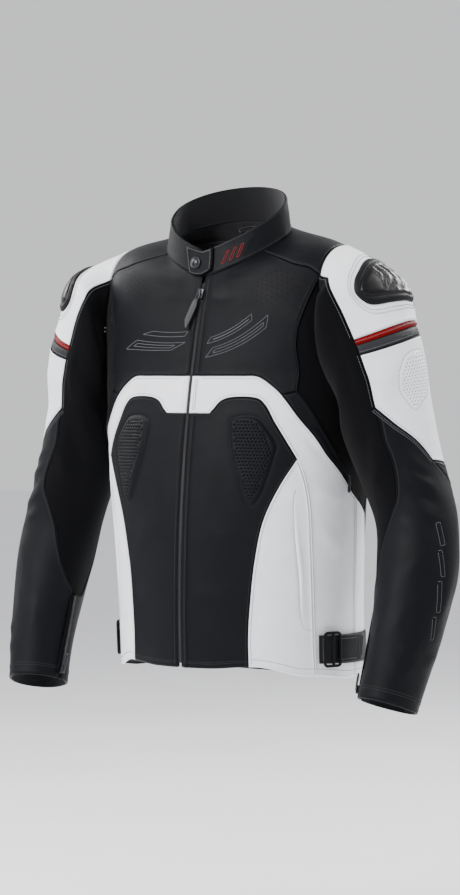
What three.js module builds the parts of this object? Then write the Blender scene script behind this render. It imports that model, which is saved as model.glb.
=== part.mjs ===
// A leather riding jacket: panels cut on a flat pattern, wrapped on a torso and two sleeves.
// Millimetres, +Z up, front towards -Y, the wearer's left towards +X.
// Torso pattern: turn in degrees from the zip (plus = wearer's left), height 0 hem, 400 chest, 600 neck.
// Sleeve pattern: phi in degrees (0 outside, 90 front, 180 inside, 270 back), run 0 armhole to 580 cuff.
import * as THREE from 'three';

// ---- driving dimensions -------------------------------------------------------------------
const FRONT_LENGTH = 533;        // hem to neck seam along z, at the zip
const CHEST_HALF_WIDTH = 204;
const WAIST_HALF_WIDTH = 177;
const HEM_FRONT_Y = -138;
const BACK_Y = 158;
const ZIP_ARC_RADIUS = 1600;     // the closed zip lies on one arc of this radius
const NECK_HALF_WIDTH = 92;
const NECK_HALF_DEPTH = 62;
const NECK_RISE = 84;            // back of the neck above its front
const SLEEVE_LENGTH = 588;       // armhole to cuff along the middle of the arm
const SHELL_THICKNESS = 2.4;
const SEAM_SHARE = 5 / 12;         // two panels bend towards each other, so their gap grows with the shell
const SEAM_GAP = SEAM_SHARE * SHELL_THICKNESS;
const LAYER_GAP = 0.6;           // between pieces that lie one on another
const LINER_THICKNESS = 1.0;
const COLLAR_FRONT_HEIGHT = 36;
const COLLAR_BACK_HEIGHT = 45;
const COLLAR_THICKNESS = 3.0;
const TEETH_WIDTH = 5.6;
const TAPE_WIDTH = 22;
const TEETH_HEIGHT = 3;
const SLIDER_WIDTH = 11;
const SLIDER_LENGTH = 14;
const SLIDER_HEIGHT = 3;
const PULL_WIDTH = 11;
const PULL_LENGTH = 52;
const PULL_THICKNESS = 2.4;
const PULL_LEAN = 18;            // degrees, the pull hangs towards the wearer's right
const SNAP_DIAMETER = 17;
const SNAP_HEIGHT = 4;
const TAB_THICKNESS = 2.4;
const STRAP_THICKNESS = 2.0;
const STRAP_LOW = 6;             // heights of the waist strap's two edges
const STRAP_HIGH = 45;
const ARMOUR_BASE_THICKNESS = 3.4;
const ARMOUR_CAP_THICKNESS = 4.5;
const ARMOUR_RIM = 6;            // cap edge inside the base edge
const PROTECTOR_THICKNESS = 7;
const CUFF_ZIP_WIDTH = 8;
const CUFF_ZIP_HEIGHT = 1.6;
const TORSO_EDGE = 56;           // longest triangle edge on the torso
const SLEEVE_EDGE = 36;
const LINER_EDGE = 70;

const LEATHER_BLACK = { color: 0x26262a, roughness: 0.5, metalness: 0 };
const LEATHER_WHITE = { color: 0xe9eaee, roughness: 0.5, metalness: 0 };
const LEATHER_GREY = { color: 0x4b4b4d, roughness: 0.5, metalness: 0 };
const LEATHER_RED = { color: 0x8c0e10, roughness: 0.5, metalness: 0 };
const STRETCH_BLACK = { color: 0x1a1b1e, roughness: 0.9, metalness: 0 };
const LINING_BLACK = { color: 0x141416, roughness: 0.95, metalness: 0 };
const PLASTIC_BLACK = { color: 0x1c1c20, roughness: 0.35, metalness: 0 };
const METAL_BLACK = { color: 0x202124, roughness: 0.35, metalness: 0.9 };
const FOAM_BLACK = { color: 0x2c2d30, roughness: 0.9, metalness: 0 };

const jacket = new THREE.Group();

// ---- small helpers ------------------------------------------------------------------------
const radians = THREE.MathUtils.degToRad;
const clamp = THREE.MathUtils.clamp;
const vector = (x, y, z) => new THREE.Vector3(x, y, z);

function smooth(low, high, value) {
  return THREE.MathUtils.smoothstep(value, low, high);
}

function power(value, exponent) {
  return Math.sign(value) * Math.abs(value) ** exponent;
}

// ---- torso surface ------------------------------------------------------------------------
const CHEST_HEIGHT = 400;        // pattern heights
const NECK_HEIGHT = 600;
const NECK_FRONT_Y = HEM_FRONT_Y + 60;
const CHEST_Z = 0.75 * FRONT_LENGTH;
const SECTION_POWER = 2.35;
const FRONT_POWER_AT_HEM = 1.85;

function zipArcCentre() {
  const hem = new THREE.Vector2(HEM_FRONT_Y, 0);
  const neck = new THREE.Vector2(NECK_FRONT_Y, FRONT_LENGTH);
  const chord = neck.clone().sub(hem);
  const half = chord.length() / 2;
  const inward = new THREE.Vector2(chord.y, -chord.x).normalize();
  return hem.add(neck).multiplyScalar(0.5).addScaledVector(inward, Math.sqrt(ZIP_ARC_RADIUS ** 2 - half ** 2));
}

const ARC = zipArcCentre();      // x holds y, y holds z

function frontY(z) {
  return ARC.x - Math.sqrt(ZIP_ARC_RADIUS ** 2 - (z - ARC.y) ** 2);
}

function backY(height) {
  const waist = 10 * Math.sin(Math.PI * clamp((height + 40) / 440, 0, 1));
  return BACK_Y - waist - 14 * clamp(height / CHEST_HEIGHT, 0, 1) ** 2;
}

function halfWidth(height) {
  const share = clamp(height / CHEST_HEIGHT, 0, 1) ** 1.8;
  return WAIST_HALF_WIDTH + (CHEST_HALF_WIDTH - WAIST_HALF_WIDTH) * share;
}

function bodySection(turn, height) {
  const z = height * CHEST_Z / CHEST_HEIGHT;
  const front = frontY(z);
  const back = backY(height);
  const forward = Math.cos(turn) > 0;
  const frontPower = FRONT_POWER_AT_HEM + (SECTION_POWER - FRONT_POWER_AT_HEM) * smooth(100, 330, height);
  const exponent = 2 / (forward ? frontPower : SECTION_POWER);
  const x = halfWidth(height) * power(Math.sin(turn), exponent);
  const y = (front + back) / 2 - (back - front) / 2 * power(Math.cos(turn), exponent);
  return vector(x, y, z);
}

function neckRing(turn) {
  const rise = ((1 - Math.cos(turn)) / 2) ** 0.61;
  const y = NECK_FRONT_Y + NECK_HALF_DEPTH - NECK_HALF_DEPTH * Math.cos(turn);
  return vector(NECK_HALF_WIDTH * Math.sin(turn), y, FRONT_LENGTH + NECK_RISE * rise);
}

function outAndUp(turn, out, up) {
  return vector(out * Math.sin(turn), -out * Math.cos(turn), up);
}

function torsoPoint(turnDegrees, height) {
  const turn = radians(turnDegrees);
  if (height <= CHEST_HEIGHT) {
    return bodySection(turn, height);
  }
  const t = clamp((height - CHEST_HEIGHT) / (NECK_HEIGHT - CHEST_HEIGHT), 0, 1);
  const side = Math.abs(Math.sin(turn)) ** 2.2;
  const front = (1 - side) * (1 + Math.cos(turn)) / 2;
  const back = (1 - side) * (1 - Math.cos(turn)) / 2;
  const chest = bodySection(turn, CHEST_HEIGHT);
  const neck = neckRing(turn);
  const low = outAndUp(turn, -9 * front + 14 * side + 2 * back, 48 * front + 185 * side + 95 * back).add(chest);
  const high = outAndUp(turn, 12 * front + 92 * side + 30 * back, -46 * front - 6 * side - 62 * back).add(neck);
  return new THREE.CubicBezierCurve3(chest, low, high, neck).getPoint(t);
}

// ---- sleeve surface -----------------------------------------------------------------------
const ARMHOLE = { turn: 92, turnFront: 31, turnBack: 30, height: 450, up: 75, down: 55 };
const SHOULDER = vector(CHEST_HALF_WIDTH - 23, 12, CHEST_Z + 90);
const ARM_SCALE = SLEEVE_LENGTH / 588;
// rings from the armhole to the cuff: run along the pattern, centre from the shoulder,
// vectors to the outside and the inside, radii to the front and the back
const ARM_RINGS = [
  { run: 36, centre: [27, -24, -2], outside: [40, 0, 50], inside: [-22, 0, -103], front: 82, back: 80 },
  { run: 86, centre: [40, -20, -50], outside: [65, 0, 20], inside: [-31, 0, -88], front: 78, back: 76 },
  { run: 183, centre: [62, -15, -145], outside: [63, 0, 15], inside: [-56, 0, -30], front: 67, back: 68 },
  { run: 264, centre: [87, -12, -222], outside: [55, 0, 17], inside: [-55, 0, -16], front: 60, back: 62 },
  { run: 333, centre: [110, -12, -288], outside: [54, 0, 10], inside: [-54, 0, -10], front: 57, back: 60 },
  { run: 400, centre: [120, -27, -353], outside: [54, 0, 3], inside: [-55, 0, -3], front: 55, back: 57 },
  { run: 474, centre: [119, -50, -423], outside: [48, 0, -1], inside: [-49, 0, 1], front: 50, back: 50 },
  { run: 548, centre: [112, -74, -492], outside: [42, 0, -4], inside: [-42, 0, 4], front: 46, back: 45 },
  { run: 580, centre: [107, -86, -530], outside: [40, 0, -5], inside: [-40, 0, 5], front: 44, back: 43 },
];
const CUFF_RUN = 580;
const ELBOW_RING = ARM_RINGS[3];
const SLEEVE_ROLL = 8;           // degrees that each upper sleeve is rolled by the hanging arm
const SLEEVE_CLEARANCE = 8;      // between the sleeve's inside and the body

function armCentre(ring) {
  return vector(...ring.centre).multiplyScalar(ARM_SCALE).add(SHOULDER);
}

function armholePoint(phi) {
  const rise = Math.cos(phi) > 0 ? ARMHOLE.up : ARMHOLE.down;
  const spread = Math.sin(phi) > 0 ? ARMHOLE.turnFront : ARMHOLE.turnBack;
  return [ARMHOLE.turn - spread * Math.sin(phi), ARMHOLE.height + rise * Math.cos(phi)];
}

function armAxis(index) {
  const last = ARM_RINGS.length - 1;
  const before = index > 0 ? armCentre(ARM_RINGS[index - 1]) : SHOULDER;
  const after = armCentre(ARM_RINGS[Math.min(index + 1, last)]);
  return after.sub(before).normalize();
}

function ringPoint(index, phi) {
  const ring = ARM_RINGS[index];
  const forward = armAxis(index).cross(vector(...ring.outside)).normalize();
  if (forward.y > 0) {
    forward.negate();
  }
  const reach = Math.sin(phi) > 0 ? ring.front : ring.back;
  const aside = vector(...(Math.cos(phi) > 0 ? ring.outside : ring.inside));
  return armCentre(ring)
    .addScaledVector(aside, Math.abs(Math.cos(phi)))
    .addScaledVector(forward, reach * Math.sin(phi));
}

const RUNS = [0, ...ARM_RINGS.map((ring) => ring.run)];

function knot(index, phi) {
  return index === 0 ? torsoPoint(...armholePoint(phi)) : ringPoint(index - 1, phi);
}

function knotSlope(index, phi) {
  const last = RUNS.length - 1;
  if (index === last) {
    return knot(last, phi).sub(knot(last - 1, phi)).divideScalar(RUNS[last] - RUNS[last - 1]);
  }
  const next = knot(index + 1, phi).sub(knot(index, phi)).divideScalar(RUNS[index + 1] - RUNS[index]);
  if (index === 0) {
    const overShoulder = 0.9 * Math.cos(phi / 2) ** 4;
    const shoulderLine = vector(0.97, 0, -0.22).multiplyScalar(1.1 * next.length() * overShoulder);
    return next.multiplyScalar(1 - overShoulder).add(shoulderLine);
  }
  const before = RUNS[index] - RUNS[index - 1];
  const after = RUNS[index + 1] - RUNS[index];
  const last2 = knot(index, phi).sub(knot(index - 1, phi)).divideScalar(before);
  return last2.multiplyScalar(after).addScaledVector(next, before).divideScalar(before + after);
}

function clearOfBody(point, run) {
  const level = Math.min(point.z, CHEST_Z);
  const height = level * CHEST_HEIGHT / CHEST_Z;
  const gap = SLEEVE_CLEARANCE * clamp(run / 30, 0, 1) + 0.5;
  const fade = 2 * Math.max(0, point.z - CHEST_Z - 25);
  const half = halfWidth(height) + gap - fade;
  const front = frontY(level) - gap;
  const back = backY(height) + gap;
  const depth = Math.abs(2 * (point.y - (front + back) / 2) / (back - front)) ** SECTION_POWER;
  if (depth >= 1) {
    return point;
  }
  const least = half * (1 - depth) ** (1 / SECTION_POWER);
  return vector(Math.max(point.x, least), point.y, point.z);
}

function leftSleevePoint(phiDegrees, run) {
  const phi = radians(phiDegrees);
  let index = RUNS.findIndex((value) => value > run) - 1;
  if (index < 0) {
    index = RUNS.length - 2;
  }
  const span = RUNS[index + 1] - RUNS[index];
  const u = (run - RUNS[index]) / span;
  const point = knot(index, phi).multiplyScalar(2 * u ** 3 - 3 * u ** 2 + 1);
  point.addScaledVector(knotSlope(index, phi), span * (u ** 3 - 2 * u ** 2 + u));
  point.addScaledVector(knot(index + 1, phi), -2 * u ** 3 + 3 * u ** 2);
  point.addScaledVector(knotSlope(index + 1, phi), span * (u ** 3 - u ** 2));
  return clearOfBody(point, run);
}

function sleevePoint(side, phi, run) {
  const roll = SLEEVE_ROLL * smooth(0, 40, run) * (1 - smooth(230, 310, run));
  const point = leftSleevePoint(phi - side * roll * Math.sin(radians(clamp(phi, 0, 180))), run);
  return vector(side * point.x, point.y, point.z);
}

// ---- collar surface: height runs from the neck seam upwards ----------------------------------
function collarPoint(turnDegrees, height) {
  const turn = radians(turnDegrees);
  const full = COLLAR_FRONT_HEIGHT + (COLLAR_BACK_HEIGHT - COLLAR_FRONT_HEIGHT) * (1 - Math.cos(turn)) / 2;
  const seam = neckRing(turn);
  const lean = outAndUp(turn, 2 - 5 * height, 1.5 + full * height);
  return seam.add(lean);
}

// ---- surfaces as objects: point(u, v), the side that faces out and millimetres per unit -------
const TORSO = { point: torsoPoint, facing: 1, unit: 3.2, edge: TORSO_EDGE };
const COLLAR = { point: collarPoint, facing: 1, unit: 1.4, edge: 30, unitHigh: 40 };

function sleeveSurface(side) {
  return { point: (phi, run) => sleevePoint(side, phi, run), facing: side, unit: 1.05, edge: SLEEVE_EDGE };
}

function outward(surface, u, v) {
  const step = 0.5 / surface.unit;
  const stepHigh = 0.5 / (surface.unitHigh ?? 1);
  const along = surface.point(u + step, v).sub(surface.point(u - step, v));
  const up = surface.point(u, v + stepHigh).sub(surface.point(u, v - stepHigh));
  return along.cross(up).normalize().multiplyScalar(surface.facing);
}

function lifted(surface, u, v, offset) {
  return surface.point(u, v).addScaledVector(outward(surface, u, v), offset);
}

// ---- flat pattern work: inset, triangles, finer triangles --------------------------------------
function inset(outline, distance) {
  const count = outline.length;
  const sign = THREE.ShapeUtils.isClockWise(outline) ? -1 : 1;
  return outline.map((point, i) => {
    const before = point.clone().sub(outline[(i + count - 1) % count]).normalize();
    const after = outline[(i + 1) % count].clone().sub(point).normalize();
    const normal = new THREE.Vector2(-before.y - after.y, before.x + after.x);
    const shrink = Math.max(0.35, (1 + before.dot(after)) / 2) ** 0.5;
    return point.clone().addScaledVector(normal.normalize(), sign * distance / shrink);
  });
}

function cornerAngle(a, b, c) {
  const one = b.clone().sub(a);
  const two = c.clone().sub(a);
  return Math.acos(clamp(one.dot(two) / (one.length() * two.length()), -1, 1));
}

function turns(a, b, c) {
  return (b.x - a.x) * (c.y - a.y) - (b.y - a.y) * (c.x - a.x);
}

function edgeMap(triangles) {
  const edges = new Map();
  triangles.forEach((triangle, index) => {
    for (let k = 0; k < 3; k++) {
      const a = triangle[k];
      const b = triangle[(k + 1) % 3];
      const key = a < b ? `${a}_${b}` : `${b}_${a}`;
      const entry = edges.get(key) ?? { a, b, uses: [] };
      entry.uses.push({ index, opposite: triangle[(k + 2) % 3] });
      edges.set(key, entry);
    }
  });
  return edges;
}

function flipEdges(flat, triangles) {
  for (let pass = 0; pass < 4; pass++) {
    const touched = new Set();
    for (const { a, b, uses } of edgeMap(triangles).values()) {
      if (uses.length < 2 || touched.has(uses[0].index) || touched.has(uses[1].index)) {
        continue;
      }
      const c = uses[0].opposite;
      const d = uses[1].opposite;
      const convex = turns(flat[c], flat[d], flat[a]) * turns(flat[c], flat[d], flat[b]) < -1e-6;
      const sum = cornerAngle(flat[c], flat[a], flat[b]) + cornerAngle(flat[d], flat[a], flat[b]);
      if (convex && sum > Math.PI + 1e-3) {
        const order = turns(flat[c], flat[d], flat[a]) < 0;
        triangles[uses[0].index] = order ? [c, a, d] : [c, d, a];
        triangles[uses[1].index] = order ? [c, d, b] : [c, b, d];
        touched.add(uses[0].index);
        touched.add(uses[1].index);
      }
    }
    if (touched.size === 0) {
      return;
    }
  }
}

function curveLength(flat, spots, place, { a, b }) {
  const middle = place(flat[a].clone().lerp(flat[b], 0.5));
  return spots[a].distanceTo(middle) + spots[b].distanceTo(middle);
}

function splitLongEdges(flat, spots, triangles, place, longest) {
  const long = [...edgeMap(triangles).values()]
    .map((edge) => ({ ...edge, length: curveLength(flat, spots, place, edge) }))
    .filter((edge) => edge.length > longest)
    .sort((one, two) => two.length - one.length);
  const touched = new Set();
  for (const { a, b, uses } of long) {
    if (uses.some((use) => touched.has(use.index))) {
      continue;
    }
    const middle = flat.length;
    flat.push(flat[a].clone().lerp(flat[b], 0.5));
    spots.push(place(flat[middle]));
    for (const { index } of uses) {
      const old = triangles[index];
      triangles[index] = old.map((corner) => (corner === a ? middle : corner));
      triangles.push(old.map((corner) => (corner === b ? middle : corner)));
      touched.add(index);
      touched.add(triangles.length - 1);
    }
  }
  return long.length > 0;
}

function shell(surface, outline, low, high, options = {}) {
  const scaleHigh = surface.unitHigh ?? 1;
  const toFlat = ([u, v]) => new THREE.Vector2(u * surface.unit, v * scaleHigh);
  const place = (p) => surface.point(p.x / surface.unit, p.y / scaleHigh);
  let contour = inset(outline.map(toFlat), options.inset ?? SEAM_GAP / 2);
  if (THREE.ShapeUtils.isClockWise(contour)) {
    contour = contour.reverse();
  }
  const holes = (options.holes ?? []).map((hole) => {
    const loop = hole.map(toFlat);
    return THREE.ShapeUtils.isClockWise(loop) ? loop : loop.reverse();
  });
  const flat = [...contour, ...holes.flat()];
  const triangles = THREE.ShapeUtils.triangulateShape(contour, holes);
  const spots = flat.map(place);
  flipEdges(flat, triangles);
  for (let round = 0; round < 40; round++) {
    if (!splitLongEdges(flat, spots, triangles, place, options.edge ?? surface.edge)) {
      break;
    }
    flipEdges(flat, triangles);
  }
  return closedShell(surface, flat, triangles, low, high, scaleHigh);
}

function closedShell(surface, flat, triangles, low, high, scaleHigh) {
  const count = flat.length;
  const positions = [];
  for (const offset of [high, low]) {
    for (const p of flat) {
      const u = p.x / surface.unit;
      const v = p.y / scaleHigh;
      const height = typeof offset === 'function' ? offset(p) : offset;
      positions.push(...lifted(surface, u, v, height).toArray());
    }
  }
  const faces = [];
  const outFirst = surface.facing > 0;
  for (const [a, b, c] of triangles) {
    faces.push(...(outFirst ? [a, b, c] : [a, c, b]));
    faces.push(...(outFirst ? [a + count, c + count, b + count] : [a + count, b + count, c + count]));
  }
  for (const edge of edgeMap(triangles).values()) {
    if (edge.uses.length === 1) {
      const [a, b] = outFirst ? [edge.a, edge.b] : [edge.b, edge.a];
      faces.push(a, a + count, b + count, a, b + count, b);
    }
  }
  const geometry = new THREE.BufferGeometry();
  geometry.setAttribute('position', new THREE.Float32BufferAttribute(positions, 3));
  geometry.setIndex(faces);
  return geometry;
}

function add(name, geometry, finish) {
  const mesh = new THREE.Mesh(geometry, new THREE.MeshStandardMaterial(finish));
  mesh.name = name;
  jacket.add(mesh);
  return mesh;
}

// ---- pattern lines of the left half, shared by the panels on both sides of each seam ------------
const HALF_TEETH = TEETH_WIDTH / 2 + 0.4;
const SHELL_TOP = 596;
const CUT_AT_ARMHOLE = 6;        // sleeve panels start this far from the armhole line

function turnAt(x, height) {
  let low = 0;
  let high = 80;
  for (let step = 0; step < 40; step++) {
    const middle = (low + high) / 2;
    if (torsoPoint(middle, height).x < x) {
      low = middle;
    } else {
      high = middle;
    }
  }
  return low;
}

function zipEdge(from, to) {
  const steps = Math.ceil(Math.abs(to - from) / 40);
  return Array.from({ length: steps + 1 }, (_, i) => {
    const height = from + (to - from) * i / steps;
    return [turnAt(HALF_TEETH, height), height];
  });
}

function hemHeight(turn) {
  const t = Math.abs(turn);
  return 3 * smooth(15, 34, t) - 14 * smooth(36, 62, t) - 7 * smooth(62, 95, t);
}

function hem(from, to) {
  const steps = Math.max(1, Math.ceil(Math.abs(to - from) / 9));
  return Array.from({ length: steps + 1 }, (_, i) => {
    const turn = from + (to - from) * i / steps;
    return [turn, hemHeight(turn)];
  });
}

function armhole(from, to) {
  const steps = Math.ceil(Math.abs(to - from) / 15);
  return Array.from({ length: steps + 1 }, (_, i) => armholePoint(radians(from + (to - from) * i / steps)));
}

const SHOULDER_CORNER = armholePoint(radians(60));
const back = (line) => [...line].reverse();
const mirrored = (line) => line.map(([u, v]) => [-u, v]);
const around = (line) => line.map(([u, v]) => [360 - u, v]);

const YOKE_SEAM = [[58, SHELL_TOP], [59, 551], [60, 528], [63.5, 508]];
const CHEST_SIDE = [[54, 463], [47, 442], [44.5, 423], [46.5, 400]];
const STRIP_TOP = [[45.5, 376], [39.5, 372]];
const STRIP_SIDE = [[52.5, 357], [63.5, 322], [77, 283], [86, 256]];
const BAND_START = [[19, 397], [26, 396], [33, 384], [39, 370]];
const BAND_SLOPE = [[48.5, 342], [60, 313], [69.5, 288], [80.5, 263], [92, 232]];
const BAND_UNDER = [[7.5, 346], [9, 351], [11.5, 362], [15, 367], [27.5, 366], [31.5, 357], [37, 334], [45, 305]];
const SIDE_CORNER = [[51, 284]];
const LOWER_SIDE = [[45, 255], [40, 222], [37.5, 195], [36, 150], [35, 100], [34, 50]];
const POCKET_SEAM = [[56, 258], [60, 223], [63, 152], [65, 60]];
const SIDE_SEAM = [[93, 227], [94.5, 178], [96.5, 88]];
const BACK_SIDE_TOP = [[101.5, 215], [105, 208]];
const BACK_SIDE_EDGE = [[112, 150], [116, 60]];
const BACK_ARM_EDGE = [[126, 405], [122, 330], [113, 262]];
const LOWER_END = 34;
const POCKET_END = 66;
const SIDE_END = 97.5;
const BACK_END = 117;
const BACK_SEAM = [[140, 468], [160, 461], [180, 459]];

const CHEST_PANEL = [
  ...zipEdge(397, SHELL_TOP), ...YOKE_SEAM, SHOULDER_CORNER, ...CHEST_SIDE,
  ...STRIP_TOP, ...back(BAND_START),
];
const CHEST_BAND = [
  ...zipEdge(346, 397), ...BAND_START, ...BAND_SLOPE, ...SIDE_SEAM, ...hem(SIDE_END, POCKET_END),
  ...back(POCKET_SEAM), ...SIDE_CORNER, ...back(BAND_UNDER),
];
const LOWER_FRONT = [
  ...zipEdge(1, 346), ...BAND_UNDER, ...SIDE_CORNER, ...LOWER_SIDE, ...hem(LOWER_END, 2),
];
const POCKET_PANEL = [
  ...SIDE_CORNER, ...POCKET_SEAM, ...hem(POCKET_END, LOWER_END), ...back(LOWER_SIDE),
];
const SIDE_STRIP = [...back(STRIP_TOP), ...STRIP_SIDE, ...back(BAND_SLOPE.slice(0, 4)), [39, 370]];
const SIDE_STRETCH = [
  ...CHEST_SIDE, STRIP_TOP[0], ...STRIP_SIDE, BAND_SLOPE[4], ...BACK_SIDE_TOP, ...back(BACK_ARM_EDGE),
  ...back(armhole(60, 270)),
];
const BACK_SIDE = [...BACK_SIDE_TOP, ...BACK_SIDE_EDGE, ...hem(BACK_END, SIDE_END), ...back(SIDE_SEAM), BAND_SLOPE[4]];
const BACK_HALF = [
  ...back(BACK_SEAM.slice(0, 2)), ...back(armhole(270, 295)), ...BACK_ARM_EDGE, BACK_SIDE_TOP[1],
  ...BACK_SIDE_EDGE, ...hem(BACK_END, 180),
];
const BACK_PANEL = [...BACK_HALF, ...back(around(BACK_HALF)).slice(1), BACK_SEAM[2]];
const YOKE_HALF = [[180, SHELL_TOP], [58, SHELL_TOP], ...YOKE_SEAM.slice(1), ...armhole(60, -65), ...BACK_SEAM.slice(0, 2)];
const YOKE = [...YOKE_HALF, BACK_SEAM[2], ...back(around(YOKE_HALF)).slice(0, -1)];

// ---- torso pieces --------------------------------------------------------------------------------
function torsoPanel(name, outline, finish) {
  add(name, shell(TORSO, outline, -SHELL_THICKNESS, 0), finish);
}

function pairOfPanels(name, outline, finish) {
  torsoPanel(`${name}_left`, outline, finish);
  torsoPanel(`${name}_right`, mirrored(outline), finish);
}

pairOfPanels('chest_panel', CHEST_PANEL, LEATHER_BLACK);
pairOfPanels('chest_band', CHEST_BAND, LEATHER_WHITE);
pairOfPanels('lower_front', LOWER_FRONT, LEATHER_BLACK);
pairOfPanels('pocket_panel', POCKET_PANEL, LEATHER_WHITE);
pairOfPanels('side_strip', SIDE_STRIP, LEATHER_BLACK);
pairOfPanels('side_stretch', SIDE_STRETCH, STRETCH_BLACK);
pairOfPanels('back_side', BACK_SIDE, LEATHER_WHITE);
torsoPanel('back_panel', BACK_PANEL, LEATHER_BLACK);
torsoPanel('yoke', YOKE, LEATHER_BLACK);

// inner lining with its two arm openings, back protector and hanging loop
const LINER_OUT = -SHELL_THICKNESS - 4.6;
const LINER_IN = LINER_OUT - LINER_THICKNESS;

const ARM_OPENING_SHARE = 1.15;

function armOpening() {
  return armhole(38, 322).map(([turn, height]) => [
    ARMHOLE.turn + (turn - ARMHOLE.turn) * ARM_OPENING_SHARE,
    ARMHOLE.height + (height - ARMHOLE.height) * ARM_OPENING_SHARE,
  ]);
}

const LINER_HALF = [[180, 0], [90, 0], [8, 14], [8, 570], [62, 562], ...armOpening(), [124, 562], [180, 570]];
const LINER_OUTLINE = [...LINER_HALF, ...back(around(LINER_HALF)).slice(1, -1)];
add('body_liner', shell(TORSO, LINER_OUTLINE, LINER_IN, LINER_OUT, { edge: LINER_EDGE }), LINING_BLACK);

const PROTECTOR_OUT = LINER_IN - 3.5;
const PROTECTOR_HALF = [[180, 455], [160, 450], [152, 420], [149, 330], [154, 230], [160, 150], [168, 118], [180, 112]];
const PROTECTOR = [...PROTECTOR_HALF, ...back(around(PROTECTOR_HALF)).slice(1, -1)];
add('back_protector', shell(TORSO, PROTECTOR, PROTECTOR_OUT - PROTECTOR_THICKNESS, PROTECTOR_OUT), FOAM_BLACK);

const LOOP_HEIGHT = 586;
const LOOP = [[166, LOOP_HEIGHT - 4], [166, LOOP_HEIGHT + 4], [194, LOOP_HEIGHT + 4], [194, LOOP_HEIGHT - 4]];
add('hanger_loop', shell(TORSO, LOOP, -6, -SHELL_THICKNESS - 1.6), STRETCH_BLACK);

// ---- front zip: tapes and teeth swept along the arc, slider and pull ------------------------------
const ZIP_START = 6;
const ZIP_END = 526;             // z of the two ends of the teeth
const SLIDER_TOP = 516;

function arcFrame(z) {
  const angle = Math.asin((z - ARC.y) / ZIP_ARC_RADIUS);
  const out = vector(0, -Math.cos(angle), Math.sin(angle));
  const along = vector(0, Math.sin(angle), Math.cos(angle));
  return { out, along, origin: vector(0, frontY(z), z) };
}

function onArc(z, x, offset) {
  const frame = arcFrame(z);
  return frame.origin.clone().addScaledVector(frame.out, offset).setX(x);
}

function sweep(section, stations) {
  const count = section.length;
  const positions = stations.flatMap((place) => section.flatMap(([x, offset]) => place(x, offset).toArray()));
  const faces = [];
  for (let s = 0; s + 1 < stations.length; s++) {
    for (let i = 0; i < count; i++) {
      const a = s * count + i;
      const b = s * count + (i + 1) % count;
      faces.push(a, b + count, b, a, a + count, b + count);
    }
  }
  const caps = THREE.ShapeUtils.triangulateShape(section.map(([x, y]) => new THREE.Vector2(x, y)), []);
  const top = (stations.length - 1) * count;
  for (const [a, b, c] of caps) {
    faces.push(a, b, c, a + top, c + top, b + top);
  }
  const geometry = new THREE.BufferGeometry();
  geometry.setAttribute('position', new THREE.Float32BufferAttribute(positions, 3));
  geometry.setIndex(faces);
  return geometry;
}

function alongArc(from, to, steps) {
  return Array.from({ length: steps + 1 }, (_, i) => {
    const z = from + (to - from) * i / steps;
    return (x, offset) => onArc(z, x, offset);
  });
}

const TAPE_OUT = -SHELL_THICKNESS - 1;
const TAPE_DROP = 1.8;           // the tape's edges bend back with the front panels
const TAPE_IN = TAPE_OUT - 1;
const TEETH_OUT = TAPE_OUT + TEETH_HEIGHT;
const TAPE_SECTION = [
  [-TAPE_WIDTH / 2, TAPE_IN - TAPE_DROP], [0, TAPE_IN], [TAPE_WIDTH / 2, TAPE_IN - TAPE_DROP],
  [TAPE_WIDTH / 2, TAPE_OUT - TAPE_DROP], [TEETH_WIDTH / 2, TAPE_OUT],
  [TEETH_WIDTH / 2, TEETH_OUT], [-TEETH_WIDTH / 2, TEETH_OUT], [-TEETH_WIDTH / 2, TAPE_OUT],
  [-TAPE_WIDTH / 2, TAPE_OUT - TAPE_DROP],
];
add('front_zip', sweep(TAPE_SECTION, alongArc(ZIP_START, ZIP_END, 16)), METAL_BLACK);

function plate(width, low, high) {
  return [[-width / 2, low], [width / 2, low], [width / 2, high], [-width / 2, high]];
}

const SLIDER_LOW = LAYER_GAP + 0.4;
add('front_zip_slider', sweep(plate(SLIDER_WIDTH, SLIDER_LOW, SLIDER_LOW + SLIDER_HEIGHT),
  alongArc(SLIDER_TOP - SLIDER_LENGTH, SLIDER_TOP, 3)), METAL_BLACK);

const PULL_PIVOT_Z = SLIDER_TOP - SLIDER_LENGTH / 2;
const PULL_LOW = SLIDER_LOW + SLIDER_HEIGHT + LAYER_GAP;
const PULL_HEAD = 1;             // the pull above its pivot, short enough to turn clear of the slider
const PULL_OUTLINE = [[-2.5, PULL_HEAD], [2.5, PULL_HEAD], [3, -10], [PULL_WIDTH / 2, -18], [PULL_WIDTH / 2 - 0.8, -PULL_LENGTH + 9],
  [-1, -PULL_LENGTH], [-PULL_WIDTH / 2 + 0.8, -PULL_LENGTH + 4], [-PULL_WIDTH / 2, -18], [-3, -10]];

function pullGeometry() {
  const shape = new THREE.Shape(PULL_OUTLINE.map(([x, y]) => new THREE.Vector2(x, y)));
  const geometry = new THREE.ExtrudeGeometry(shape, { depth: PULL_THICKNESS, bevelEnabled: false });
  return geometry.rotateX(Math.PI / 2);
}

const pull = add('front_zip_pull', pullGeometry(), PLASTIC_BLACK);
const pullFrame = arcFrame(PULL_PIVOT_Z);
pull.position.copy(onArc(PULL_PIVOT_Z, 0, PULL_LOW));
pull.rotation.set(-Math.asin(pullFrame.out.z), 0, 0);
pull.rotateY(radians(PULL_LEAN));

// ---- collar, its closing tab and the snap ----------------------------------------------------------
const COLLAR_OPENING = 2;        // degrees each side of the zip
const TAB_START = 9;             // the tab's fold, on the wearer's left
const TAB_TIP = -19;
const SNAP_TURN = -6.5;
const SNAP_SHARE = 0.4;          // of the collar's height
const STUD_HEIGHT = 1.6;
const TAB_LOW = STUD_HEIGHT + 2 * LAYER_GAP;

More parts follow.
